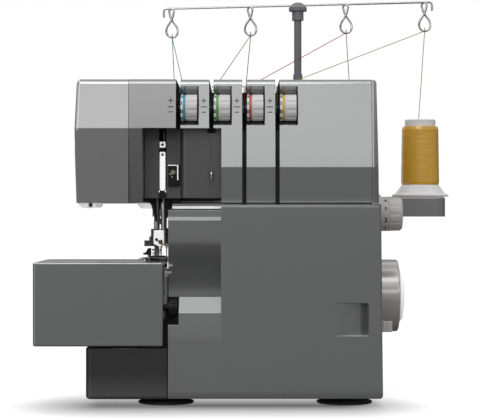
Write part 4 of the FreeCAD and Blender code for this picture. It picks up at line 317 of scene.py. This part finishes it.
# Threads: a rise from the cone to a wire loop, a span to the hook behind the arm, and a run down the slot
SLOT_XS = {"blue": 15.6, "green": 45.8, "red": 76.0, "yellow": 106.2}
CONE_XS = {"blue": 5.1, "green": 74.9, "red": 188.9, "yellow": 258.7}
LOOPS = {"blue": (1.7, 355.8), "green": (83.1, 357.9), "red": (182.1, 360.4), "yellow": (263.6, 362.4)}
STRAND = {"blue": (0.035, 0.18, 0.24), "green": (0.05, 0.13, 0.03), "red": (0.42, 0.02, 0.0),
          "yellow": (0.34, 0.28, 0.0)}
CONE_Y = 150.0
CONE_Z = 190.9
THREAD_DIAMETER = 0.00075
THREAD_TOP_BACK = 14.3
THREAD_TOP_Z = 271.2
LOOP_LIFT = 3.56
LOOP_SIDE = 1.875
HOOK_Y = 97.5
HOOK_Z = 298.6
CORNER_Y = -36.0
CORNER_Z = 286.3
DISC_Y = -50.0
DISC_Z = 278.1
ROUTE_STEPS = 16


def spline_points(route):
    """Points along one smooth NURBS curve through its control points."""
    curve = bpy.data.curves.new("route", "CURVE")
    curve.dimensions = "3D"
    curve.resolution_u = ROUTE_STEPS
    line = curve.splines.new("NURBS")
    line.points.add(len(route) - 1)
    for knot, spot in zip(line.points, route):
        knot.co = (*spot, 1)
    line.order_u = 3
    line.use_endpoint_u = True
    holder = bpy.data.objects.new("route", curve)
    mesh = bpy.data.meshes.new_from_object(holder)
    points = [v.co.copy() for v in mesh.vertices]
    bpy.data.objects.remove(holder)
    bpy.data.curves.remove(curve)
    bpy.data.meshes.remove(mesh)
    return points


def tube(name, points, radius, sides=8):
    """Closed round tube along points, with its ring turned smoothly from point to point."""
    mesh = bmesh.new()
    rings = []
    across = None
    for i, spot in enumerate(points):
        ahead = (points[min(i + 1, len(points) - 1)] - points[max(i - 1, 0)]).normalized()
        if across is None:
            across = ahead.orthogonal()
        across = (across - ahead * across.dot(ahead)).normalized()
        other = ahead.cross(across)
        ring = []
        for k in range(sides):
            angle = 2 * math.pi * k / sides
            corner = spot + across * (radius * math.cos(angle)) + other * (radius * math.sin(angle))
            ring.append(mesh.verts.new(corner))
        rings.append(ring)
    for low, high in zip(rings[:-1], rings[1:]):
        for k in range(sides):
            n = (k + 1) % sides
            mesh.faces.new((low[k], low[n], high[n], high[k])).smooth = True
    mesh.faces.new(rings[0][::-1])
    mesh.faces.new(rings[-1])
    data = bpy.data.meshes.new(name)
    mesh.to_mesh(data)
    mesh.free()
    return bpy.data.objects.new(name, data)


def near(hook, far, gap=0.003):
    """Point a short way from a hook on the run towards the far end."""
    return hook + (far - hook).normalized() * gap


for colour, slot_x in SLOT_XS.items():
    tone = STRAND[colour]
    yarn = finish_of("yarn_" + colour, tuple(c * 0.8 for c in tone), tone, 0.8, grain=2500, bump=0.4,
                     bump_scale=5000, shine=0.1)
    loop_x, loop_z = LOOPS[colour]
    top = at(CONE_XS[colour], CONE_Y + THREAD_TOP_BACK, THREAD_TOP_Z)
    back = at(loop_x, CONE_Y + LOOP_SIDE, loop_z)
    crown = at(loop_x, CONE_Y, loop_z + LOOP_LIFT)
    front = at(loop_x, CONE_Y - LOOP_SIDE, loop_z)
    hook = at(slot_x, HOOK_Y, HOOK_Z)
    corner = at(slot_x, CORNER_Y, CORNER_Z)
    disc = at(slot_x, DISC_Y, DISC_Z)
    runs = {"rise": [top, near(back, top), back, crown],
            "span": [crown, front, near(front, hook), hook],
            "slot": [hook, near(corner, hook), corner, disc]}
    anchors = {"rise": (top, THREAD_TOP_Z), "span": (hook, HOOK_Z)}
    for run, route in runs.items():
        points = spline_points(route)
        strand = link(tube("thread_" + colour + "_" + run, points, THREAD_DIAMETER / 2), "machine")
        dress(strand, yarn)
        if run in anchors:
            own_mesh(strand)
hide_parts("threads")

# Least share of a normal along an axis for a face that is square to it
SQUARE = 0.9


def dress_faces(name, choices, choose):
    """Dress a CAD piece in several finishes, with a rule that picks one from a face's place and normal."""
    obj = dress(nodes[name], *choices)
    for face in obj.data.polygons:
        face.material_index = choices.index(choose(worked(face.center), face.normal))


# Cones: white core with a wound body
YARN = {"blue": (0.07, 0.32, 0.42), "green": (0.1, 0.2, 0.09), "red": (0.4, 0.03, 0.03),
        "yellow": (0.66, 0.36, 0.02)}
WOUND_LOW_Z = CONE_Z + 12.15
WOUND_HIGH_Z = CONE_Z + 72.5
WOUND_INNER_RADIUS = 16.1


def cone_finish(cone_x, wound):
    """Rule for a cone: thread outside the core, between its foot and its top."""
    def choose(spot, normal):
        x, y, z = spot
        outside = math.hypot(x - cone_x, y - CONE_Y) > WOUND_INNER_RADIUS
        return wound if outside and WOUND_LOW_Z < z < WOUND_HIGH_Z else WHITE
    return choose


for colour, cone_x in CONE_XS.items():
    tone = YARN[colour]
    wound = finish_of("wound_" + colour, tuple(c * 0.7 for c in tone), tuple(min(1, c * 1.2) for c in tone),
                      0.38, grain=150, rough_spread=0.06, bump=0.5, bump_scale=220, stretch=(0.25, 0.25, 12),
                      coat=0.6, shine=1.0)
    dress_faces("thread_cone_" + colour, [WHITE, wound], cone_finish(cone_x, wound))

# Bands of the tension dials, from the left: white rim, ring of colour, grey grip and dark end
BAND = {"blue": (0.05, 0.28, 0.42), "green": (0.12, 0.34, 0.1), "red": (0.42, 0.08, 0.06),
        "yellow": (0.55, 0.36, 0.08)}
DIAL_LEFT = 2.35
RIM_WIDTH = 1.9
RING_WIDTH = 2.5
GRIP_WIDTH = 10.35
END_WIDTH = 0.9
for colour, slot_x in SLOT_XS.items():
    dial = finish_of("dial_" + colour, grey(0.95), grey(1.0), 0.38, grain=700, bump=0.06, bump_scale=2200,
                     edge=0.0003)
    banded(dial, slot_x + DIAL_LEFT, [(RIM_WIDTH, grey(0.8)), (RING_WIDTH, BAND[colour]),
                                      (GRIP_WIDTH, grey(0.6, 0.02)), (END_WIDTH, grey(0.01))])
    dress(nodes["tension_dial_" + colour], dial)

# Grey rim and white domed end of the handwheel, the dome glowing with painted light
DOME_X = 226.2


def wheel_finish(spot, normal):
    """White, glowing with painted light, right of the rim."""
    return GLOWING_DOME_WHITE if spot[0] > DOME_X else WHEEL_GREY


dress_faces("handwheel", [WHEEL_GREY, GLOWING_DOME_WHITE], wheel_finish)

# Arm: black painted shade in the thread slots and dial recesses, and painted shade darkening the front of its
# left end
ARM_FOOT_Y = -62.0
LEFT_FOOT_Z = 251.5
LEFT_SLOPE = 0.085
RIGHT_FOOT_Z = 216.0
RIGHT_SLOPE = 0.1034
SLOT_WALL_REACH = 2.4
SLOT_WALL_Y = -61.5
SLOT_FLOOR_REACH = 1.0
SLOT_FLOOR_Y = -60.5
RECESS_DEPTH = 3.0
RECESS_LOW_Z = 250.0
RECESS_HIGH_Z = 292.0
LEFT_END_X = SLOT_XS["blue"] - 2.0


def arm_face_y(x, z):
    """Front of the arm's upper facet."""
    if x < SLOT_XS["blue"]:
        return ARM_FOOT_Y + LEFT_SLOPE * (z - LEFT_FOOT_Z)
    return ARM_FOOT_Y + RIGHT_SLOPE * (z - RIGHT_FOOT_Z)


def arm_finish(spot, normal):
    """Black painted shade in the slots and recesses, and the darker painted-shade copy of the paint on the
    front of the left end.
    """
    x, y, z = spot
    slot_away = min(abs(x - slot_x) for slot_x in SLOT_XS.values())
    facing = normal.y < -SQUARE
    slot_wall = slot_away < SLOT_WALL_REACH and abs(normal.x) > SQUARE and y > SLOT_WALL_Y
    slot_floor = slot_away < SLOT_FLOOR_REACH and facing and y > SLOT_FLOOR_Y
    recess = facing and y > arm_face_y(x, z) + RECESS_DEPTH and RECESS_LOW_Z < z < RECESS_HIGH_Z
    if slot_wall or slot_floor or recess:
        return BLACK_AND_SHADE
    return SHADED_ARM_PAINT if facing and x < LEFT_END_X else PAINT


dress_faces("arm_front_cover", [PAINT, BLACK_AND_SHADE, SHADED_ARM_PAINT], arm_finish)

# Lip above the bed: painted highlight on its slope and painted shade on its steep front
LIP_LOW_Z = 176.7


def bed_finish(spot, normal):
    """Painted highlight where the lip leans back, and painted shade where it stands steeper."""
    if spot[2] > LIP_LOW_Z and normal.y < -0.5 and normal.z > 0.05:
        return PAINTED_HIGHLIGHT if normal.z > 0.4 else PAINTED_SHADE
    return PAINT


dress_faces("bed_cover", [PAINT, PAINTED_HIGHLIGHT, PAINTED_SHADE], bed_finish)

# Front cover: painted shade on the round along its top and on the walls of the finger recess, and a painted
# highlight on the recess's ledge
COVER_EDGE_Z = 178.0
FINGER_LEFT_X = 150.0
FINGER_RIGHT_X = 194.0
FINGER_LOW_Z = 58.0
FINGER_HIGH_Z = 98.0
FINGER_SKIN = 0.05
FINGER_TILT = 0.6


def cover_finish(spot, normal):
    """Painted shade on the top's round and on the finger recess's walls, and a painted highlight on its
    ledge.
    """
    x, y, z = spot
    in_front = FINGER_LEFT_X < x < FINGER_RIGHT_X and FINGER_LOW_Z < z < FINGER_HIGH_Z
    if in_front and y > FRONT_Y + FINGER_SKIN:
        if normal.x < -FINGER_TILT or normal.z < -FINGER_TILT:
            return PAINTED_SHADE
        if normal.z > FINGER_TILT:
            return PAINTED_HIGHLIGHT
    rounded = -0.995 < normal.y < -0.05 and normal.z > 0.05
    return PAINTED_SHADE if rounded and z > COVER_EDGE_Z else PAINT


dress_faces("front_cover", [PAINT, PAINTED_SHADE, PAINTED_HIGHLIGHT], cover_finish)

# Take-up: black back, and black painted shade in the gap between its eyelet and its strip
TAKE_UP_BACK_Y = -27.9
EYELET_GAP_LOW_Z = 231.0
EYELET_GAP_HIGH_Z = 235.0


def take_up_finish(spot, normal):
    """Black behind the strip, and black painted shade in the gap."""
    _, y, z = spot
    gap = EYELET_GAP_LOW_Z < z < EYELET_GAP_HIGH_Z and normal.y < -SQUARE
    return BLACK_AND_SHADE if y > TAKE_UP_BACK_Y or gap else NICKEL


dress_faces("take_up", [NICKEL, BLACK_AND_SHADE], take_up_finish)

# Thread hooks: chrome, with a black guide bracket in the head
GUIDE_LEFT_X = 4.5
GUIDE_RIGHT_X = 15.5
GUIDE_LOW_Z = 198.5
GUIDE_HIGH_Z = 219.5


def hook_finish(spot, normal):
    """Black within the guide bracket."""
    x, _, z = spot
    guide = GUIDE_LEFT_X < x < GUIDE_RIGHT_X and GUIDE_LOW_Z < z < GUIDE_HIGH_Z
    return BLACK_AND_SHADE if guide else CHROME


dress_faces("thread_hooks", [CHROME, BLACK_AND_SHADE], hook_finish)

# Small trim
SHARP_ANGLE = math.radians(35)
BEVEL_SEGMENTS = 2
FIGURE_DEPTH = 0.00004
FIGURE_WEIGHT = 0.0002


def oblong(left, right, low, high):
    """Outline of a rectangle."""
    return [(left, low), (right, low), (right, high), (left, high)]


def add_prism(mesh, outline, axis, start, end):
    """Outline in millimetres drawn out along X or Y."""
    place = {"X": lambda a, b, c: at(c, a, b), "Y": lambda a, b, c: at(a, c, b)}[axis]
    low = [mesh.verts.new(place(a, b, start)) for a, b in outline]
    high = [mesh.verts.new(place(a, b, end)) for a, b in outline]
    mesh.faces.new(low)
    mesh.faces.new(high[::-1])
    for k in range(len(outline)):
        n = (k + 1) % len(outline)
        mesh.faces.new((low[k], high[k], high[n], low[n]))


def add_lathe(mesh, profile, origin, axis, steps=40):
    """Turned form from (along, radius) points in millimetres about an axis through a point."""
    turn = Vector(axis).to_track_quat("Z", "Y")
    rings = []
    for along_mm, radius in profile:
        ring = []
        for k in range(steps if radius > 1e-6 else 1):
            angle = 2 * math.pi * k / steps
            offset = Vector((radius * math.cos(angle), radius * math.sin(angle), along_mm)) / 1000
            ring.append(mesh.verts.new(origin + turn @ offset))
        rings.append(ring)
    for low, high in zip(rings[:-1], rings[1:]):
        for k in range(steps):
            n = k + 1
            corners = [low[k % len(low)], low[n % len(low)], high[n % len(high)], high[k % len(high)]]
            corners = [v for i, v in enumerate(corners) if v not in corners[:i]]
            if len(corners) > 2:
                mesh.faces.new(corners)


def add_text(mesh, words, size, spot, right, up):
    """Flat raised figures at a point, reading along right with their tops to up."""
    curve = bpy.data.curves.new("figures", "FONT")
    curve.body = words
    curve.size = size / 1000
    curve.align_x = "CENTER"
    curve.align_y = "CENTER"
    curve.extrude = FIGURE_DEPTH
    curve.offset = FIGURE_WEIGHT
    holder = bpy.data.objects.new("figures", curve)
    data = bpy.data.meshes.new_from_object(holder)
    right = Vector(right).normalized()
    up = Vector(up).normalized()
    turn = Matrix((right, up, right.cross(up))).transposed().to_4x4()
    data.transform(Matrix.Translation(spot) @ turn)
    mesh.from_mesh(data)
    bpy.data.objects.remove(holder)
    bpy.data.curves.remove(curve)
    bpy.data.meshes.remove(data)


def piece(name, mesh, body, mat, bevel=0.0):
    """Finished trim piece that rides on a body."""
    bmesh.ops.recalc_face_normals(mesh, faces=mesh.faces)
    data = bpy.data.meshes.new(name)
    mesh.to_mesh(data)
    mesh.free()
    data.shade_smooth()
    data.set_sharp_from_angle(angle=SHARP_ANGLE)
    obj = link(bpy.data.objects.new(name, data), body)
    dress(obj, mat)
    if bevel:
        edges = obj.modifiers.new("edges", "BEVEL")
        edges.width = bevel / 1000
        edges.segments = BEVEL_SEGMENTS
        edges.limit_method = "ANGLE"
        edges.angle_limit = SHARP_ANGLE
        edges.harden_normals = True


def drawn(name, forms, body, mat, bevel=0.0):
    """Trim piece of prisms, each an outline, an axis, a start and an end."""
    mesh = bmesh.new()
    for form in forms:
        add_prism(mesh, *form)
    piece(name, mesh, body, mat, bevel)


def turned(name, forms, body, mat, bevel=0.0):
    """Trim piece of turned forms, each a profile, an origin, an axis and any count of steps."""
    mesh = bmesh.new()
    for form in forms:
        add_lathe(mesh, *form)
    piece(name, mesh, body, mat, bevel)


# Plus, line and minus marks beside each dial, as (width, height, Z) of bars laid on the arm's slope
MARK_LEFT = 6.8
MARK_BARS = [(4.6, 0.7, 276.8), (0.7, 4.6, 276.8), (5.6, 0.85, 271.1), (3.8, 0.8, 266.3)]
MARK_LIFT = 0.12
MARK_TILT = 0.052
MARK_SINK = 0.3
marks = []
for slot_x in SLOT_XS.values():
    x = slot_x - MARK_LEFT
    for wide, tall, z in MARK_BARS:
        y = arm_face_y(x, z)
        bar = oblong(x - wide / 2, x + wide / 2, z - tall / 2, z + tall / 2)
        marks.append((bar, "Y", y - MARK_LIFT - MARK_TILT * tall, y + MARK_SINK))
drawn("dial_marks", marks, "machine", INK)

# Figures on the tension dials and the stitch-length dial, as (figure, degrees above the front)
FIGURE_LIFT = 0.06
DIAL_Y = -52.0
DIAL_Z = 270.6
DIAL_RADIUS = 12.2
DIAL_FIGURE_LEFT = 3.3
DIAL_FIGURE_SIZE = 4.6
DIAL_FIGURES = [(number, 36 * number - 20) for number in range(10)]
STITCH_X = 208.8
STITCH_Y = 0.0
STITCH_Z = 173.0
STITCH_RADIUS = 15.9
STITCH_FIGURE_SIZE = 5.6
STITCH_FIGURES = [(4, 53), (3, 16), (2, -20), (1, -54)]


def figure_ring(name, body, figures, size, middle, radius):
    """Figures round a dial that turns about X."""
    mesh = bmesh.new()
    x, y, z = middle
    reach = radius + FIGURE_LIFT
    for number, degrees in figures:
        turn = math.radians(degrees)
        spot = at(x, y - math.cos(turn) * reach, z + math.sin(turn) * reach)
        add_text(mesh, str(number), size, spot, (1, 0, 0), (0, math.sin(turn), math.cos(turn)))
    piece(name, mesh, body, INK)


for colour, slot_x in SLOT_XS.items():
    figure_ring("dial_figures_" + colour, "tension_dial_" + colour, DIAL_FIGURES, DIAL_FIGURE_SIZE,
                (slot_x + DIAL_FIGURE_LEFT, DIAL_Y, DIAL_Z), DIAL_RADIUS)
figure_ring("stitch_figures", "stitch_length_dial", STITCH_FIGURES, STITCH_FIGURE_SIZE,
            (STITCH_X, STITCH_Y, STITCH_Z), STITCH_RADIUS)

# Dark housing behind the bars, and the brackets either side of them
HOUSING = [(-15.6, 190.0), (-15.6, 187.0), (-10.6, 177.7), (6.9, 177.5), (13.0, 183.6), (13.0, 190.0)]
LEFT_BRACKET = [(-15.8, 190.0), (-15.8, 186.9), (-10.6, 177.7), (-9.5, 172.3), (-7.7, 166.1), (-6.9, 165.2),
                (-6.5, 166.6), (-6.9, 177.9), (-6.9, 190.0)]
RIGHT_BRACKET = [(0.9, 190.0), (0.9, 186.9), (1.8, 177.9), (2.0, 169.5), (4.0, 169.5), (4.2, 176.1),
                 (6.9, 177.5), (13.0, 183.6), (13.0, 190.0)]
drawn("bar_housing", [(HOUSING, "Y", 14.2, 20.0)], "machine", BLACK_AND_SHADE, 0.4)
drawn("bar_brackets", [(LEFT_BRACKET, "Y", -1.0, 2.0), (RIGHT_BRACKET, "Y", -9.2, -6.2)],
      "machine", BLACK_AND_SHADE, 0.3)

# Socket-head screws, as shares of their height and radius
SCREW_PROFILE = [(0.0, 0.0), (0.0, 1.0), (0.9, 0.9), (1.0, 0.7), (1.0, 0.42), (0.3, 0.38), (0.3, 0.0)]
SCREW_STEPS = 24
LUG_SCREW_STEPS = 28
FORWARD = (0, -1, 0)


def screw(radius, tall, spot, steps=SCREW_STEPS):
    """Turned form of a screw that faces forward."""
    profile = [(height * tall, share * radius) for height, share in SCREW_PROFILE]
    return profile, at(*spot), FORWARD, steps


# Face plate of the needle clamp with its screws and washers
CLAMP_FACE = [(-9.4, 157.4), (-8.8, 158.1), (0.2, 158.1), (0.7, 157.4), (0.7, 143.4), (0.0, 142.8),
              (-5.0, 142.8), (-9.4, 145.0)]
CLAMP_FACE_Y = -8.6
CLAMP_BACK_Y = -4.02
CLAMP_SEAT_Y = -8.55
WIDE_WASHER = [(0.0, 0.0), (0.0, 2.3), (0.5, 2.2), (0.5, 0.0)]
SMALL_WASHER = [(0.0, 0.0), (0.0, 1.3), (0.9, 1.1), (0.9, 0.0)]
drawn("clamp_face", [(CLAMP_FACE, "Y", CLAMP_FACE_Y, CLAMP_BACK_Y)], "needle_bar", NICKEL, 0.4)
turned("clamp_face_screws", [screw(1.5, 1.8, (-6.6, CLAMP_SEAT_Y, 149.2)),
                             screw(1.7, 1.6, (-3.0, CLAMP_SEAT_Y, 147.0))],
       "needle_bar", DARK_STEEL)
turned("clamp_face_washers", [(WIDE_WASHER, at(-3.0, CLAMP_SEAT_Y, 147.0), FORWARD, SCREW_STEPS),
                              (SMALL_WASHER, at(-1.2, CLAMP_SEAT_Y, 144.9), FORWARD, SCREW_STEPS)],
       "needle_bar", BRASS)

# Guide bracket in the head: black front, bright edge and brass screws
GUIDE_EDGE = [(5.0, 218.0), (13.6, 218.0), (13.6, 204.6), (14.8, 204.6), (14.8, 219.0), (5.0, 219.0)]
GUIDE_SEAT_Y = -29.4
drawn("guide_front", [(oblong(5.3, 14.7, 199.3, 218.2), "Y", -29.5, -29.05)],
      "machine", BLACK_AND_SHADE, 0.15)
drawn("guide_edge", [(GUIDE_EDGE, "Y", -30.4, -29.1)], "machine", NICKEL, 0.2)
turned("guide_screws", [screw(0.9, 0.8, (6.9, GUIDE_SEAT_Y, 210.2)),
                        screw(1.2, 1.0, (9.8, GUIDE_SEAT_Y, 210.9)),
                        screw(0.9, 0.8, (8.9, GUIDE_SEAT_Y, 207.6))], "machine", BRASS)

# Comb under the take-up's strip, with a bright tick on each end
COMB = [(-3.4, 188.6), (3.4, 188.6), (3.4, 194.6), (2.4, 194.6), (2.4, 193.2), (-2.4, 193.2), (-2.4, 194.6),
        (-3.4, 194.6)]
TICK_XS = (-2.9, 2.9)
TICK_HALF = 0.5
drawn("take_up_comb", [(COMB, "Y", -29.6, -28.0)], "needle_bar", BLACK_AND_SHADE, 0.2)
drawn("take_up_ticks", [(oblong(x - TICK_HALF, x + TICK_HALF, 193.4, 195.2), "Y", -30.2, -29.5)
                        for x in TICK_XS], "needle_bar", NICKEL, 0.1)

# Ankle screw and release lever of the presser foot
ANKLE_KNOB = [(0.0, 0.0), (0.0, 1.8), (0.4, 2.8), (1.9, 2.8), (2.3, 2.2), (2.3, 0.0)]
RELEASE_LEVER = [(-12.4, 141.0), (-15.6, 140.6), (-17.4, 137.2), (-20.6, 135.6), (-20.0, 134.6),
                 (-16.6, 134.4), (-14.0, 132.6), (-12.4, 134.4)]
turned("ankle_screw", [(ANKLE_KNOB, at(-12.0, 9.0, 149.2), (-1, 0, 0))],
       "presser_bar", DARK_STEEL, 0.2)
drawn("foot_release_lever", [(RELEASE_LEVER, "Y", 5.4, 9.6)], "presser_bar", BLACK_AND_SHADE, 0.4)

# Black strip of painted shade along the back of the cover's low top where a shadow gap shows, and the catch
# on its left edge
SHADOW_STRIP = [(-63.6, 175.2), (-62.4, 175.2), (-62.4, 177.9), (-62.8, 178.2), (-63.6, 178.2)]
CATCH = [(3.9, 121.4), (10.6, 121.4), (10.6, 119.0), (7.4, 119.0), (7.4, 116.6), (3.9, 116.6)]
drawn("cover_shadow_strip", [(SHADOW_STRIP, "X", 8.0, 54.8)], "front_cover", RUBBER_AND_SHADE, 0.1)
drawn("cover_catch", [(CATCH, "Y", -79.2, -77.8)], "front_cover", CHROME, 0.25)

# Grip ribs on the differential lever's tab
RIB_XS = (203.7, 207.3, 210.9)
RIB_HALF = 1.0
drawn("lever_ribs", [(oblong(x - RIB_HALF, x + RIB_HALF, 63.6, 72.4), "Y", -24.1, -23.3) for x in RIB_XS],
      "differential_lever", DIAL_GREY, 0.3)

# Small lug with a screw under the left end of the head, white and glowing with painted light
LUG = [(-77.5, 184.0), (-76.6, 183.2), (-72.5, 178.9), (-68.5, 178.9), (-66.5, 180.4), (-61.5, 179.2),
       (-59.5, 181.0), (-58.8, 184.0)]
drawn("head_lug", [(LUG, "Y", -54.0, 20.0)], "machine", GLOWING_LUG_WHITE, 0.6)
turned("head_lug_screw", [screw(2.0, 1.4, (-64.6, -53.8, 181.7), LUG_SCREW_STEPS)],
       "machine", DARK_STEEL)

# Floor with a painted shadow along the front of the base, fading with distance from it
FLOOR_HALF = 6
SHADE_LEFT_X = -54.0
SHADE_RIGHT_X = 162.0
SHADE_REACH = 95.0
SHADE_LIGHT = 0.04
FLOOR_LIGHT = 0.78
PALE = finish_of("pale_floor", grey(0.3), grey(0.31), 0.6, grain=8, bump=0.0)
shade_tree = PALE.node_tree
shade_axes = own_axes(PALE)


def shade_math(operation, first, second):
    """Sum in the floor's painted shadow, from a socket and a socket or value."""
    step = shade_tree.nodes.new("ShaderNodeMath")
    step.operation = operation
    shade_tree.links.new(first, step.inputs[0])
    if isinstance(second, float):
        step.inputs[1].default_value = second
    else:
        shade_tree.links.new(second, step.inputs[1])
    return step.outputs["Value"]


shade_middle = at((SHADE_LEFT_X + SHADE_RIGHT_X) / 2, FRONT_Y, 0)
shade_half = (SHADE_RIGHT_X - SHADE_LEFT_X) / 2000
across = shade_math("ABSOLUTE", shade_math("SUBTRACT", shade_axes["X"], shade_middle.x), 0.0)
across = shade_math("MAXIMUM", shade_math("SUBTRACT", across, shade_half), 0.0)
ahead = shade_math("SUBTRACT", shade_axes["Y"], shade_middle.y)
squares = shade_math("ADD", shade_math("MULTIPLY", across, across), shade_math("MULTIPLY", ahead, ahead))
fade = shade_tree.nodes.new("ShaderNodeMapRange")
fade.inputs["From Max"].default_value = SHADE_REACH / 1000
fade.inputs["To Min"].default_value = SHADE_LIGHT
fade.inputs["To Max"].default_value = FLOOR_LIGHT
shade_tree.links.new(shade_math("POWER", squares, 0.5), fade.inputs["Value"])
shade_tree.links.new(fade.outputs["Result"], shade_tree.nodes["Principled BSDF"].inputs["Emission Strength"])
floor_mesh = bpy.data.meshes.new("floor")
floor_mesh.from_pydata([(x, y, 0) for x, y in oblong(-FLOOR_HALF, FLOOR_HALF, -FLOOR_HALF, FLOOR_HALF)],
                       [], [(0, 1, 2, 3)])
floor = link(dress(bpy.data.objects.new("floor", floor_mesh), PALE))
floor.visible_glossy = False
floor.visible_diffuse = False

# Studio light by direction, as (share of the axis, light) stops: the first two are the ends
MIRRORED_BY_Z = [(-1.0, 0.05), (1.0, 0.9), (-0.3, 0.05), (-0.2, 0.08), (-0.13, 0.3), (-0.08, 0.19),
                 (0.02, 0.165), (0.1, 0.17), (0.17, 0.18), (0.2, 1.0), (0.22, 1.9), (0.28, 1.9),
                 (0.33, 0.4), (0.7, 0.4), (0.74, 2.4), (0.85, 2.4), (0.9, 0.9)]
STRIPS_BY_X = [(-1.0, 0.0), (1.0, 0.0), (-0.75, 0.0), (-0.66, 0.6), (-0.4, 0.6), (-0.3, 0.0)]
WINGS_BY_X = [(-1.0, 0.7), (1.0, 1.1), (-0.6, 1.0), (0.85, 1.0)]
BEHIND_BY_Y = [(-1.0, 1.0), (1.0, 1.0), (0.06, 1.0), (0.18, 0.4), (0.75, 0.4), (0.92, 1.0)]
SPREAD_BY_Z = [(-1.0, 0.2), (1.0, 0.9), (0.0, 0.26), (0.2, 0.42), (0.5, 0.65)]
world = bpy.data.worlds.new("studio")
scene.world = world
world.use_nodes = True
sky = world.node_tree
way = sky.nodes.new("ShaderNodeTexCoord")
sky_axes = sky.nodes.new("ShaderNodeSeparateXYZ")
sky.links.new(way.outputs["Generated"], sky_axes.inputs["Vector"])


def sky_ramp(axis, stops):
    """Grey ramp over the share of the direction that lies along an axis, from -1 to 1."""
    share = sky.nodes.new("ShaderNodeMapRange")
    share.inputs["From Min"].default_value = -1.0
    share.inputs["From Max"].default_value = 1.0
    sky.links.new(sky_axes.outputs[axis], share.inputs["Value"])
    ramp = sky.nodes.new("ShaderNodeValToRGB")
    for i, (height, value) in enumerate(stops):
        spot = ramp.color_ramp.elements[i] if i < 2 else ramp.color_ramp.elements.new((height + 1) / 2)
        spot.position = (height + 1) / 2
        spot.color = (value, value, value, 1)
    sky.links.new(share.outputs["Result"], ramp.inputs["Fac"])
    return ramp.outputs["Color"]


def sky_mix(first, second, factor=None, blend="MIX"):
    """Blend of a sky colour with another, or with white where there is none."""
    mix = sky.nodes.new("ShaderNodeMix")
    mix.data_type = "RGBA"
    mix.blend_type = blend
    if factor is None:
        mix.inputs["Factor"].default_value = 1.0
    else:
        sky.links.new(factor, mix.inputs["Factor"])
    sky.links.new(first, mix.inputs["A"])
    if second is None:
        mix.inputs["B"].default_value = (1, 1, 1, 1)
    else:
        sky.links.new(second, mix.inputs["B"])
    return mix.outputs["Result"]


mirrored = sky_mix(sky_ramp("Z", MIRRORED_BY_Z), sky_ramp("X", WINGS_BY_X), blend="MULTIPLY")
mirrored = sky_mix(mirrored, sky_ramp("Y", BEHIND_BY_Y), blend="MULTIPLY")
mirrored = sky_mix(mirrored, sky_ramp("X", STRIPS_BY_X), blend="ADD")
seen = sky.nodes.new("ShaderNodeLightPath")
studio = sky_mix(sky_ramp("Z", SPREAD_BY_Z), mirrored, seen.outputs["Is Glossy Ray"])
backdrop = sky_mix(studio, None, seen.outputs["Is Camera Ray"])
sky.links.new(backdrop, sky.nodes["Background"].inputs["Color"])

# Studio lamps
AIM = (0, 0, 0.2)


def softbox(name, spot, width, depth, power, glossy):
    """Area light aimed at the machine, shown in glossy surfaces or not."""
    data = bpy.data.lights.new(name, "AREA")
    data.shape = "RECTANGLE"
    data.size = width
    data.size_y = depth
    data.energy = power
    box = link(bpy.data.objects.new(name, data))
    box.location = spot
    box.visible_glossy = glossy
    box.rotation_euler = (Vector(AIM) - Vector(spot)).to_track_quat("-Z", "Y").to_euler()


softbox("overhead", (0, 0.3, 1.4), 1.2, 0.8, 8.0, False)
softbox("front_fill", (0.1, -1.8, 0.45), 1.4, 0.9, 7.0, False)
softbox("front_top", (-0.3, -1.6, 1.35), 1.0, 0.5, 6.0, True)

scene.view_settings.view_transform = "Standard"
